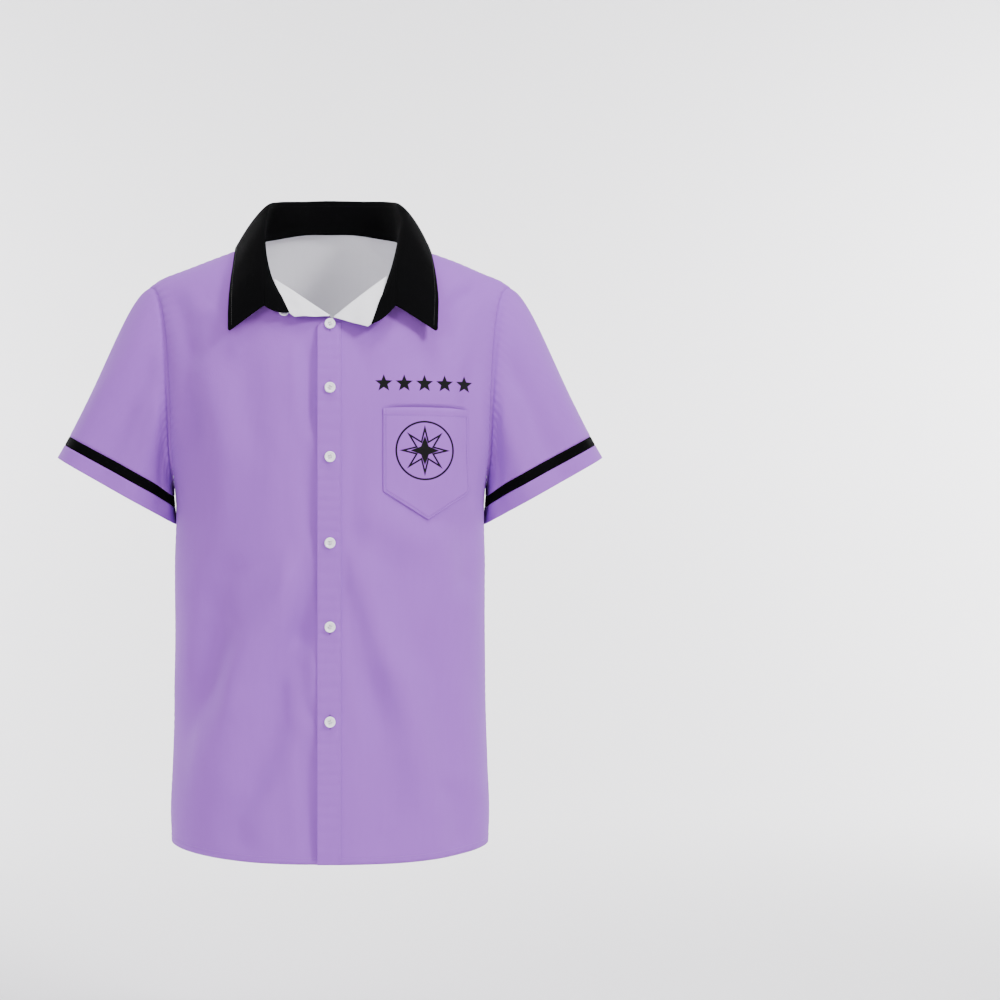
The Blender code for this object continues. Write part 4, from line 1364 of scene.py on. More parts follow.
# ---------------------------------------------------------------- sleeves
@dataclass(frozen=True)
class Head:
    """How the sleeve leaves the armhole at one part of it, and how wide its hem band and stripe are."""

    part: float
    out: float
    fore: float
    down: float
    first: float
    last: float
    hem_band: float
    stripe: float


@dataclass(frozen=True)
class SleeveFold:
    """A fold that runs down the sleeve: its share round the sleeve at both ends, and its run along it."""

    face: Face
    part0: float
    part1: float
    run0: float
    run1: float
    width: float
    depth: float

    def height(self, share: Array, run: Array) -> Array:
        """Height of the fold: a bell across it, with a slow wander, eased at both ends."""
        at = mixed(self.part0, self.part1, run) + 0.012 * np.sin(run * 7.0 + self.part0 * 20.0)
        taper = ease((run - self.run0 + 0.2) / 0.4) * ease((self.run1 + 0.3 - run) / 0.4)
        return self.depth * bell(share - at, self.width) * taper


@dataclass
class Sleeve:
    """A short set-in sleeve with an inset stripe and a hem band. It is worked out on the left."""

    form: BodyForm
    rows: GridRows
    seams: Seams
    half: Half
    hem_outer: tuple[float, float] = (0.3262, -0.2600)
    hem_inner: tuple[float, float] = (0.1838, -0.3400)
    half_depth: float = 0.0520
    axis: tuple[float, float, float] = (0.504, 0.0, -0.864)
    squareness: float = 2.5
    start: float = 0.0009
    under_arm: float = 0.55
    tuck: float = 0.0050
    tuck_drop: float = 0.0016
    tuck_slant: float = 0.35
    tip_normal: tuple[float, float, float] = (0.39, 0.0, 0.92)
    tip_reach: float = 0.014
    side_dip: float = 0.0006
    side_dip_width: float = 0.0018
    run_steps: int = 61
    cloth_rows: int = 64
    stripe_rows: int = 10
    hem_rows: int = 16
    swell_span: float = 0.2
    swell: Swell = Swell(0.0007, 0.085, 1.4)
    head: tuple[Head, ...] = (
        Head(0.00, 0.10, 0.00, 0.99, 0.20, 0.30, 0.0210, 0.0130),
        Head(0.25, 0.60, 0.14, 0.78, 0.24, 0.30, 0.0200, 0.0127),
        Head(0.50, 0.82, 0.22, 0.52, 0.24, 0.34, 0.0188, 0.0123),
        Head(0.75, 0.85, 0.14, 0.50, 0.20, 0.40, 0.0178, 0.0120),
        Head(1.00, 0.80, 0.00, 0.60, 0.15, 0.45, 0.0172, 0.0120),
    )
    folds: tuple[SleeveFold, ...] = (
        SleeveFold(Face.FRONT, 0.60, 0.58, 0.10, 1.00, 0.075, -0.0042),
        SleeveFold(Face.FRONT, 0.78, 0.75, 0.15, 1.00, 0.080, 0.0024),
        SleeveFold(Face.FRONT, 0.42, 0.45, 0.05, 1.00, 0.070, 0.0040),
        SleeveFold(Face.FRONT, 0.25, 0.28, 0.00, 0.95, 0.060, -0.0030),
        SleeveFold(Face.FRONT, 0.13, 0.14, 0.00, 0.80, 0.045, 0.0014),
        SleeveFold(Face.BACK, 0.55, 0.58, 0.10, 1.00, 0.075, -0.0042),
        SleeveFold(Face.BACK, 0.76, 0.74, 0.10, 1.00, 0.080, 0.0024),
        SleeveFold(Face.BACK, 0.32, 0.34, 0.05, 1.00, 0.060, 0.0038),
    )

    def side_paths(self, face: Face) -> tuple[Array, Array]:
        """Paths down one face of the sleeve, from the armhole to the hem.

        Each is a cubic curve. It leaves the armhole in the head's direction and meets the hem, a
        superellipse, along the sleeve's axis; under the arm it comes in straight.
        """
        hem_outer = np.array([self.hem_outer[0], 0.0, self.hem_outer[1]])
        hem_inner = np.array([self.hem_inner[0], 0.0, self.hem_inner[1]])
        centre, major = (hem_outer + hem_inner) / 2, (hem_outer - hem_inner) / 2
        start = self.form.point(*self.form.armhole(shares(self.rows.upper), face), face)
        run = run_of(start)
        share = run / run[-1]
        start = start + np.array([self.start, 0.0, 0.0])
        swing = math.pi * (1.0 - share)
        power = 2.0 / self.squareness
        c = np.sign(np.cos(swing)) * np.abs(np.cos(swing)) ** power
        s = np.abs(np.sin(swing)) ** power
        end = centre + major * c[:, None] + np.array([0.0, face.value * self.half_depth, 0.0]) * s[:, None]
        read = {
            key: column(self.head, "part", key, share)[:, None]
            for key in ("out", "fore", "down", "first", "last")
        }
        leave = unit(np.hstack([read["out"], face.value * read["fore"], -read["down"]]))
        length = np.linalg.norm(end - start, axis=1, keepdims=True)
        axis = unit(np.array(self.axis))
        aim = unit(mixed(unit(end - start), axis, ease(share / self.under_arm)[:, None]))
        w = np.linspace(0.0, 1.0, self.run_steps)[None, :, None]
        first = start + leave * length * read["first"]
        last = end - aim * length * read["last"]
        curve = bezier(start[:, None], first[:, None], last[:, None], end[:, None], w)
        along = w[..., 0]
        height = sum(fold.height(share[:, None], along) for fold in self.folds if fold.face is face)
        round_it = share[:, None] * self.swell_span + 0.3 * face.value
        height = height + self.swell.read(round_it, along * self.swell_span)
        push = curve - (centre + axis * np.sum((curve - centre) * axis, axis=-1, keepdims=True))
        calm = ease(along / 0.25) * ease(share / 0.15)[:, None] * ease((1.0 - share) / 0.12)[:, None]
        return curve + unit(push) * (height * calm)[..., None], share

    def grids(self) -> dict[str, Array]:
        """Outer faces of the sleeve, the stripe and the hem band: rows down, columns all round."""
        front, share = self.side_paths(Face.FRONT)
        back, back_share = self.side_paths(Face.BACK)
        ring = np.concatenate([front, back[::-1][:-1]])
        share = np.concatenate([share, back_share[::-1][:-1]])
        ring = np.concatenate([ring, ring[:1]])
        share = np.concatenate([share, share[:1]])
        steps = np.linalg.norm(np.diff(ring, axis=1), axis=-1)
        run = np.concatenate([np.zeros((len(ring), 1)), np.cumsum(steps, axis=1)], axis=1)
        total = run[:, -1:]
        hem_band = column(self.head, "part", "hem_band", share)[:, None]
        stripe = column(self.head, "part", "stripe", share)[:, None]
        spans = {
            "sleeve": (np.zeros_like(total), total - hem_band - stripe, self.cloth_rows),
            "sleeve_stripe": (total - hem_band - stripe, total - hem_band, self.stripe_rows),
            "sleeve_hem": (total - hem_band, total, self.hem_rows),
        }
        grids = {}
        for name, (low, high, count) in spans.items():
            at = mixed(low, high, shares(count)[None])
            index = np.arange(len(ring))[:, None]
            i = np.clip(np.sum(run[:, None, :] <= at[..., None], axis=-1) - 1, 0, self.run_steps - 2)
            f = ((at - run[index, i]) / np.maximum(run[index, i + 1] - run[index, i], 1e-9))[..., None]
            grids[name] = np.swapaxes(mixed(ring[index, i], ring[index, i + 1], f), 0, 1)
        return grids

    def sewn(self, name: str, grid: Array) -> tuple[Array, Array]:
        """A sleeve grid with its dips into the seams, and its normals.

        The cloth dips at the armhole and at both edges of the stripe, and along the underarm seam. The
        two columns that meet at the shoulder tip share one normal.
        """
        wrapped = np.concatenate([grid[:, -2:-1], grid, grid[:, 1:2]], axis=1)
        centre = grid.mean(axis=1, keepdims=True)
        normal = unit(np.cross(np.gradient(wrapped, axis=1), np.gradient(wrapped, axis=0))[:, 1:-1])
        normal = np.where(np.sum(normal * (grid - centre), axis=-1, keepdims=True) < 0, -normal, normal)
        top = slice(self.rows.upper, self.rows.upper + 2)
        normal[:, top] = unit(normal[:, top].sum(axis=1, keepdims=True))
        low_away, low_run = beside(grid, last_column=False)
        top_away, top_run = beside(grid, last_column=False, from_top=True)
        flat = Seams(dip=0.0005, dip_width=0.0012, pucker=0.0)
        if name == "sleeve":
            tip = grid[:1, grid.shape[1] // 2]
            height = self.seams.height(low_away, low_run) * self.seams.calm(grid, tip)
        else:
            height = flat.height(low_away, low_run)
        if name != "sleeve_hem":
            height = height + flat.height(top_away, top_run)
        side = np.minimum(
            np.linalg.norm(grid - grid[:, :1], axis=-1), np.linalg.norm(grid - grid[:, -1:], axis=-1),
        )
        height = height - self.side_dip * bell(side, self.side_dip_width)
        return grid + normal * height[..., None], normal

    def tucked(self, grid: Array) -> Array:
        """The sleeve with one more row, its seam allowance, which lies under the body cloth.

        The row runs inward along the body form and lies a little below it. Where the form faces sideways
        it drops instead, and at the shoulder tip, where two faces meet, one fixed normal holds for both.
        """
        step = 1e-4
        rows = []
        for face in (Face.FRONT, Face.BACK):
            turn, level = self.form.armhole(shares(self.rows.upper), face)
            turn = np.minimum(turn, math.pi / 2 - 2 * step)
            level = np.minimum(level, -2 * step)
            across = self.form.point(turn + step, level, face) - self.form.point(turn - step, level, face)
            up = self.form.point(turn, level + step, face) - self.form.point(turn, level - step, face)
            n = unit(np.cross(across, up)) * -face.value
            edge = self.form.point(turn, level, face)
            near = bell(np.linalg.norm(edge - edge[-1], axis=-1, keepdims=True), self.tip_reach)
            n = unit(mixed(n, np.array(self.tip_normal), near))
            inward = np.array([-1.0, 0.0, 0.0])
            inward = inward - n * np.sum(n * inward, axis=-1, keepdims=True)
            slant = np.linalg.norm(inward, axis=-1, keepdims=True) / self.tuck_slant
            slant = np.clip(slant, 0.0, 1.0)
            down = np.array([0.0, 0.0, -self.tuck_drop]) * (1.0 - slant)
            rows.append(unit(inward) * slant * self.tuck - n * self.tuck_drop * (1.0 + near) + down)
        shift = np.concatenate([rows[0], rows[1][::-1][:-1]])
        shift = np.concatenate([shift, shift[:1]])
        return np.concatenate([(grid[0] + shift)[None], grid])

    def build(self, finishes: dict[str, list[Finish]]) -> tuple[dict[str, Piece], dict[str, Line]]:
        """Make the three shells of the sleeve.

        Args:
            finishes: each shell's finishes, by the shell's name.

        Returns:
            The pieces, and each one's outer face with its normals, both by the shell's name.
        """
        mirror = MIRROR if self.half is Half.RIGHT else np.ones(3)
        pieces, arrays = {}, {}
        for name, raw in self.grids().items():
            grid, normal = self.sewn(name, raw)
            arrays[name] = (grid * mirror, normal * mirror)
            cloth = self.tucked(grid) if name == "sleeve" else grid
            pieces[name] = shell(
                f"{name}_cloth_{self.half.word}", [cloth * mirror], (self.half.value, 0, 0.5), finishes[name],
            )
        return pieces, arrays


# ---------------------------------------------------------------- collar
@dataclass(frozen=True)
class Station:
    """The collar at one place: 0 at the nape, 1 at the shoulder seam, 2 at the lapel, 3 at the end."""

    place: float
    fold_x: float
    fold_y: float
    fold_z: float
    edge_x: float
    edge_y: float
    edge_z: float
    lead: float
    swell: float


@dataclass
class Collar:
    """The pointed collar: a band that stands up from the neckline, and a fall that lies over it."""

    form: BodyForm
    back_steps: int = 42
    side_steps: int = 42
    lapel_steps: int = 36
    band_rows: int = 18
    fall_rows: int = 44
    tuck: float = 0.0022
    fold_lean: float = 0.0080
    edge_lean: float = 0.0042
    end_bulge: float = 0.0035
    cover: float = 0.0014
    band_bow: float = 0.0012
    fold_gap: float = 0.0003
    handle: float = 0.45
    row_power: float = 1.3
    point_draw: float = 0.035
    edge: Hem = Hem(0.0055, 0.0002, 0.0014, 0.00035)
    stations: tuple[Station, ...] = (
        Station(0.00, 0.0000, 0.0715, 0.0540, 0.0000, 0.0960, 0.0185, 0.0170, 0.0060),
        Station(0.35, 0.0335, 0.0660, 0.0530, 0.0450, 0.0900, 0.0140, 0.0170, 0.0060),
        Station(0.70, 0.0630, 0.0400, 0.0485, 0.0870, 0.0590, 0.0030, 0.0170, 0.0060),
        Station(1.00, 0.0722, 0.0040, 0.0390, 0.1120, 0.0040, -0.0070, 0.0170, 0.0050),
        Station(1.25, 0.0752, -0.0200, 0.0230, 0.1155, -0.0270, -0.0160, 0.0160, 0.0045),
        Station(1.50, 0.0763, -0.0440, 0.0055, 0.1182, -0.0540, -0.0370, 0.0140, 0.0040),
        Station(2.00, 0.0757, -0.0790, -0.0360, 0.1210, -0.0800, -0.0690, 0.0090, 0.0025),
        Station(2.50, 0.0758, -0.0950, -0.0635, 0.1218, -0.0940, -0.0930, 0.0050, 0.0010),
        Station(3.00, 0.0759, -0.1030, -0.0888, 0.1215, -0.1060, -0.1195, 0.0010, 0.0000),
    )

    def lean(self, half: Half, place: Array) -> tuple[Array, Array]:
        """How far the fold and the leaf's edge stand further out, as the neck lies a little askew."""
        if half is Half.RIGHT:
            return np.zeros_like(place), -self.edge_lean * ease((place - 0.8) / 0.8)
        fold = self.fold_lean * ease(place / 0.6) * ease((2.1 - place) / 0.9)
        return fold, self.edge_lean * ease(place / 0.8) * (1.0 - 0.45 * ease(place - 2.0))

    def side(self, half: Half, lapel_edge: Array) -> list[Array]:
        """Neck seam, fold, leaf edge, lead and swell of one half, from the nape to the front end."""
        fine = shares(60)
        nape = self.form.point(*self.form.neck_back(fine), Face.BACK)
        neck_z = LAPELS[half].top_z * fine ** 2
        side = self.form.point(*self.form.place(self.form.neck_front(neck_z), neck_z), Face.FRONT)
        seam = np.concatenate([
            evenly(nape, self.back_steps), evenly(side, self.side_steps)[1:],
            evenly(lapel_edge, self.lapel_steps)[1:],
        ])
        place = np.concatenate([
            shares(self.back_steps),
            np.linspace(1.0, 2.0, self.side_steps + 1)[1:],
            np.linspace(2.0, 3.0, self.lapel_steps + 1)[1:],
        ])
        read = {
            key: column(self.stations, "place", key, place)
            for key in ("fold_x", "fold_y", "fold_z", "edge_x", "edge_y", "edge_z", "lead", "swell")
        }
        fold_out, edge_out = self.lean(half, place)
        fold = np.stack([read["fold_x"] + fold_out, read["fold_y"], read["fold_z"]], axis=1)
        edge = np.stack([read["edge_x"] + edge_out, read["edge_y"], read["edge_z"]], axis=1)
        return [seam, fold, edge, read["lead"][:, None], read["swell"][:, None]]

    def grids(self, lapel_edges: dict[Half, Array]) -> tuple[Array, Array]:
        """Outer faces of the band and the fall.

        The band is straight from the neck seam to the fold, bows a little into the neck, and at its foot
        behind covers the body's edge. The fall is a cubic curve: it carries on up past the fold, turns
        over, and comes down to the leaf's edge with a slight belly. Its rows crowd toward the fold and
        draw in a little at the two points.
        """
        left = self.side(Half.LEFT, lapel_edges[Half.LEFT])
        right = self.side(Half.RIGHT, lapel_edges[Half.RIGHT])
        seam, fold, edge, lead, swell = (
            np.concatenate([(b[:0:-1] * MIRROR if a.shape[1] == 3 else b[:0:-1]), a])
            for a, b in zip(left, right)
        )
        rise = unit(fold - seam)
        w = shares(self.band_rows)[:, None, None]
        ends = np.abs(np.linspace(-3.0, 3.0, len(seam)))[:, None]
        tuck = self.tuck * (1.0 + 0.9 * ease((1.3 - ends) / 0.5))
        band = mixed((seam - rise * tuck)[None], fold[None], w)
        at_end = ease((ends - 2.45) / 0.55)[None]
        band = band + np.array([0.0, 0.0, -self.end_bulge]) * np.sin(math.pi * w) * at_end
        inward = unit(np.cross(np.gradient(fold, axis=0), rise))
        inward = inward * -np.sign(inward[len(inward) // 2, 1])
        cover = self.cover * (1.0 - ease(w / 0.3)) * ease((1.7 - ends) / 0.6)[None]
        band = band + inward[None] * (self.band_bow * np.sin(math.pi * w) + cover)
        start = fold - rise * self.fold_gap
        drop = unit(edge - fold)
        aside = unit(drop - rise * np.sum(drop * rise, axis=1, keepdims=True))
        first = start + rise * lead
        reach = np.linalg.norm(edge - fold, axis=1, keepdims=True)
        last = first + drop * self.handle * reach + aside * swell
        w = shares(self.fall_rows)[:, None, None] ** self.row_power
        w = w * (1.0 - self.point_draw * np.clip((ends - 2.93) / 0.07, 0.0, 1.0) ** 2)
        fall = bezier(start[None], first[None], last[None], edge[None], w)
        return band, fall

    def build(self, lapel_edges: dict[Half, Array], black: Finish, thread: Finish) -> list[Piece]:
        """The band, the fall and the row of stitches inside the leaf's edge, free of its two ends."""
        band, fall = self.grids(lapel_edges)
        outward = (0, 1, 0.5)
        normal = unit(np.cross(np.gradient(fall, axis=1), np.gradient(fall, axis=0)))
        middle = normal[-1, fall.shape[1] // 2]
        normal = normal * (1.0 if middle @ np.array(outward) > 0 else -1.0)
        away, _ = beside(fall, last_column=False, from_top=True)
        fall = fall + normal * self.edge.height(away)[..., None]
        path, face = line_above(fall[::-1], normal[::-1], self.edge.depth)
        inner = slice(3, -3)
        return [
            shell("collar_band_cloth", [band], (0, -1, 0), [black], COLLAR_SHELL),
            shell("collar_fall_cloth", [fall], outward, [black], COLLAR_SHELL),
            Stitching().sew("collar_stitching", [(path[inner], face[inner])], thread),
        ]


# ---------------------------------------------------------------- what lies on the left front
@dataclass
class Placket:
    """The folded strip along the left front's free edge: a flat profile carried up the front."""

    front: Front
    stitch_x: float = 0.0130
    edge_x: float = -0.0145
    top_z: float = -0.1085
    rows: int = 300
    lift: float = 0.0013
    turn_under: float = 0.0007
    corner_inset: float = 0.0122
    groove: float = 0.00075
    ripple: float = 0.00022
    ripple_pitch: float = 0.0135

    def inset(self, z: Array) -> Array:
        """How far the free edge draws in where the front's corner is rounded."""
        return self.corner_inset * ease((z - self.front.edge_corner_z + 0.002) / 0.012)

    def grid(self) -> Array:
        """The strip's face.

        Across, it rises from the stitched side, sinks under the stitches, lies flat, and turns under
        round the free edge. Up the front it ripples by a sine whose pitch drifts.
        """
        z = np.linspace(self.front.form.hem_z + 0.0004, self.top_z, self.rows + 1)[:, None]
        flat = shares(21)
        swing = np.linspace(0.0, math.pi, 9)[1:]
        turn_x = self.edge_x + 0.0006
        x = np.concatenate([
            self.stitch_x + np.array([0.0004, 0.0001]),
            mixed(self.stitch_x - 0.0003, turn_x, flat),
            turn_x - self.turn_under * np.sin(swing),
        ])[None]
        off = np.concatenate([
            np.array([-0.0001, 0.0006]),
            self.lift - self.groove * bell(flat - 0.060, 0.034),
            self.lift - self.turn_under * (1 - np.cos(swing)),
        ])[None]
        x = x + self.inset(z) * (self.stitch_x - x) / (self.stitch_x - self.edge_x)
        wave = np.sin(z * 2 * math.pi / self.ripple_pitch + 2.5 * np.sin(z * 40))
        base, normal = self.front.surface(x, z + 0.0 * x)
        return base + normal * (off + self.ripple * wave * (off > 0))[..., None]

    def build(self, print_side: Finish, thread: Finish) -> tuple[Piece, Piece]:
        """The strip and its line of stitches."""
        piece = shell("placket_strip", [self.grid()], (0, -1, 0), [print_side], 0.0005)
        z = np.linspace(self.front.form.hem_z + 0.001, self.top_z - 0.001, 900)
        base, normal = self.front.surface(np.full_like(z, self.stitch_x - 0.0017), z)
        sewn = Stitching().sew("placket_stitching", [(base + normal * (self.lift - 0.0006), normal)], thread)
        return piece, sewn


@dataclass
class Pocket:
    """The patch pocket: straight mouth and sides, and a pointed bottom, sewn on with one row."""

    front: Front
    x: tuple[float, float] = (0.0601, 0.1628)
    top_z: float = -0.2084
    side_z: float = -0.3030
    point_z: float = -0.3355
    mouth_hem: float = 0.0078
    columns: int = 78
    rows: int = 96
    lift: float = 0.0017
    belly: float = 0.0018
    seam: float = 0.0025
    groove: float = 0.0006
    groove_width: float = 0.0010
    mouth_rise: float = 0.0004
    crowding: float = 0.55

    @property
    def slope(self) -> float:
        """How steeply the bottom runs down to its point."""
        return (self.side_z - self.point_z) / ((self.x[1] - self.x[0]) / 2)

    def sewn_outline(self) -> Array:
        """Corners of the row of stitches, inside the edge; x and z, from the mouth down and round."""
        low, high = self.x[0] + self.seam, self.x[1] - self.seam
        drop = self.seam * math.hypot(1.0, self.slope)
        side = self.side_z + drop - self.seam * self.slope
        top = self.top_z - 0.0012
        point = ((low + high) / 2, self.point_z + drop)
        return np.array([(low, top), (low, side), point, (high, side), (high, top)])

    def on_cloth(self, corners: Array, steps: int, off: float) -> Line:
        """A line on the front through corners.

        Args:
            corners: each corner's x and z.
            steps: points between two corners.
            off: how far the line lies over the front.

        Returns:
            The line and the front's normals on it.
        """
        part = np.linspace(0.0, 1.0, steps, endpoint=False)[:, None]
        stretches = [mixed(a, b, part) for a, b in zip(corners, corners[1:])]
        flat = np.concatenate(stretches + [corners[-1:]])
        base, normal = self.front.surface(flat[:, 0], flat[:, 1])
        return base + normal * (off + self.puff(flat[:, 0], flat[:, 1]))[:, None], normal

    def puff(self, x: Array, z: Array) -> Array:
        """The pocket's slight fullness: a product of two arches, nil at its edges and largest low down."""
        across = np.clip((x - self.x[0]) / (self.x[1] - self.x[0]), 0.0, 1.0)
        down = np.clip((self.top_z - z) / (self.top_z - self.point_z), 0.0, 1.0)
        arches = np.sin(math.pi * across) ** 0.8, np.sin(math.pi * (0.12 + 0.78 * down)) ** 0.8
        return self.belly * arches[0] * arches[1]

    def grid(self) -> Array:
        """The pocket's face: rows down from the mouth, with turned edges and a hemmed mouth.

        Rows and columns crowd toward the edges. The cloth rises over its turned edges and sinks under
        the row of stitches, and the mouth's hem stands a little higher.
        """
        a = shares(self.columns)[None, :]
        a = mixed(a, ease(a), self.crowding)
        b = shares(self.rows)[:, None]
        b = mixed(b, ease(b), self.crowding)
        bottom = mixed(self.side_z, self.point_z, 1.0 - np.abs(2 * a - 1.0))
        x = mixed(self.x[0], self.x[1], a) + 0.0 * b
        z = mixed(self.top_z, bottom, b)
        base, normal = self.front.surface(x, z)
        across = 2 * (x - self.x[0]) / (self.x[1] - self.x[0]) - 1.0
        over_bottom = z - mixed(self.side_z, self.point_z, 1.0 - np.abs(across))
        edge = np.minimum(x - self.x[0], self.x[1] - x)
        edge = np.minimum(edge, over_bottom / math.hypot(1.0, self.slope))
        below_hem = self.top_z - z - self.mouth_hem
        off = self.lift * (0.35 + 0.65 * ease((edge + 0.0002) / 0.0012)) + self.puff(x, z)
        off = off - self.groove * bell(edge - self.seam, self.groove_width)
        off = off + self.mouth_rise * (1.0 - ease(below_hem / 0.0015))
        off = off - self.groove * bell(below_hem, self.groove_width)
        return base + normal * off[..., None]

    def build(self, print_side: Finish, thread: Finish) -> tuple[Piece, Piece]:
        """The pocket and its stitches: one row round it and one across under the mouth's hem."""
        piece = shell("pocket_patch", [self.grid()], (0, -1, 0), [print_side])
        z = self.top_z - self.mouth_hem
        mouth = np.array([(self.x[0] + 0.0016, z), (self.x[1] - 0.0016, z)])
        lines = [
            self.on_cloth(self.sewn_outline(), 90, self.lift - 0.0004),
            self.on_cloth(mouth, 240, self.lift - 0.0002),
        ]
        return piece, Stitching().sew("pocket_stitching", lines, thread)


# ---------------------------------------------------------------- buttons
@dataclass
class Button:
    """A four-hole shirt button with a raised rim, and the thread that holds it."""

    radius: float = 0.0063
    thick: float = 0.0022
    hole_radius: float = 0.00105
    hole_spread: float = 0.0019
    sunk: float = 0.62
    base: float = 0.93
    thread_radius: float = 0.00017
    rings: int = 44
    sides: int = 96

    def top(self, r: Array) -> Array:
        """Height of the top over the base at a radius: a dish, a raised rim and a rounded edge.

        The dish is 0.70 of the thickness, and the rim rises from 0.58 of the radius. From 0.86 on the
        edge is a quarter ellipse, which ends 0.30 of the way up.
        """
        share = r / self.radius
        dish = 0.70 + 0.30 * ease((share - 0.58) / 0.26)
        edge = np.sqrt(np.clip(1.0 - (np.clip(share - 0.86, 0.0, 1.0) / 0.14) ** 2, 0.0, 1.0))
        return self.thick * dish * (0.30 + 0.70 * edge)

    def body(self) -> tuple[Array, list[list[int]]]:
        """Points and faces: a polar grid for the top, with the holes sunk into it, and a flat base."""
        r = self.radius * shares(self.rings)[1:, None] ** 0.8
        spin = np.linspace(0.0, 2 * math.pi, self.sides, endpoint=False)[None]
        x, y = r * np.cos(spin), r * np.sin(spin)
        height = self.top(r) + 0.0 * spin
        for k in range(4):
            swing = math.radians(45 + 90 * k)
            hole_x, hole_y = self.hole_spread * math.cos(swing), self.hole_spread * math.sin(swing)
            past_hole = np.hypot(x - hole_x, y - hole_y) - self.hole_radius * 0.75
            height = height - self.thick * self.sunk * (1.0 - ease(past_hole / 0.0004))
        top = np.stack([x, y, height], axis=-1)
        base = np.stack([x[-1] * self.base, y[-1] * self.base, np.zeros(self.sides)], axis=-1)
        middle = [[0.0, 0.0, self.top(np.array(0.0))], [0.0, 0.0, 0.0]]
        points = np.concatenate([top.reshape(-1, 3), base, middle])
        index = np.arange((self.rings + 1) * self.sides).reshape(self.rings + 1, self.sides)
        turned = np.roll(index, -1, axis=1)
        quads = np.stack([index[:-1], index[1:], turned[1:], turned[:-1]], axis=-1).reshape(-1, 4)
        crown, under = len(points) - 2, len(points) - 1
        inner = np.stack([np.full(self.sides, crown), index[0], turned[0]], axis=-1)
        outer = np.stack([np.full(self.sides, under), turned[-1], index[-1]], axis=-1)
        return points, quads.tolist() + inner.tolist() + outer.tolist()

    def thread_paths(self) -> Array:
        """Two bars of thread, each a few strands between two holes, that arch over the button's face."""
        s = np.linspace(-1.0, 1.0, 13)
        spread = self.hole_spread * math.cos(math.radians(45))
        paths = []
        for across in (-1.0, 1.0):
            for strand in (-1.0, 0.0, 1.0):
                x = s * spread * 1.02
                y = np.full_like(s, across * spread) + strand * 0.00026 * (1.0 - 0.3 * s ** 2)
                z = self.thick * 0.70 + 0.00042 - 0.0011 * np.abs(s) ** 5 + 0.00008 * (1 - abs(strand))
                paths.append(np.stack([x, y, z], axis=-1))
        return np.array(paths)

    def build(
        self, name: str, at: Array, normal: Array, turn: float, resin: Finish, thread: Finish,
    ) -> tuple[Piece, Piece]:
        """The button and its thread, set on the cloth.

        Args:
            name: the button's name.
            at: the middle of its base.
            normal: where its face looks.
            turn: how far it is turned on its thread, in radians.
            resin: the button's finish.
            thread: the thread's finish.

        Returns:
            The button and the thread.
        """
        normal = unit(np.asarray(normal, float))
        side = unit(np.cross(np.array([0.0, 0.0, 1.0]), normal))
        rise = np.cross(normal, side)
        c, s = math.cos(turn), math.sin(turn)
        axes = np.stack([side * c + rise * s, rise * c - side * s, normal])
        points, faces = self.body()
        piece = closed_piece(name + "_resin", points @ axes + at, faces, resin)
        paths = self.thread_paths() @ axes + at
        return piece, tube_piece(name + "_thread", paths, self.thread_radius, 6, thread)


@dataclass
class Buttonhole:
    """A vertical worked slit: two bars of satin stitches with a tack across each end."""

    length: float = 0.0165
    spread: float = 0.00085
    pitch: float = 0.00045
    radius: float = 0.00020

    def lines(self, front: Front, z: float, off: float) -> Array:
        """Short threads across both bars, one for each pitch, and longer ones at the two ends.

        Args:
            front: the front that the slit is cut in.
            z: the height of its middle.
            off: how far the threads lie over the front.

        Returns:
            Threads by points by 3.
        """
        count = int(self.length / self.pitch)
        place = np.linspace(-0.5, 0.5, count) * self.length + z
        s = np.linspace(-1.0, 1.0, 5)
        end = np.abs(np.abs(place - z) - self.length / 2) < 3 * self.pitch
        paths = []
        for side in (-1.0, 1.0):
            reach = np.where(end, self.spread * 1.1, self.spread * 0.52)[:, None]
            x = side * self.spread * np.where(end, 0.0, 1.0)[:, None] + s[None] * reach
            base, normal = front.surface(x, place[:, None] + 0.0 * x)
            lift = off + self.radius * (1.0 - 1.2 * s[None] ** 2)
            paths.append(base + normal * lift[..., None])
        return np.concatenate(paths)


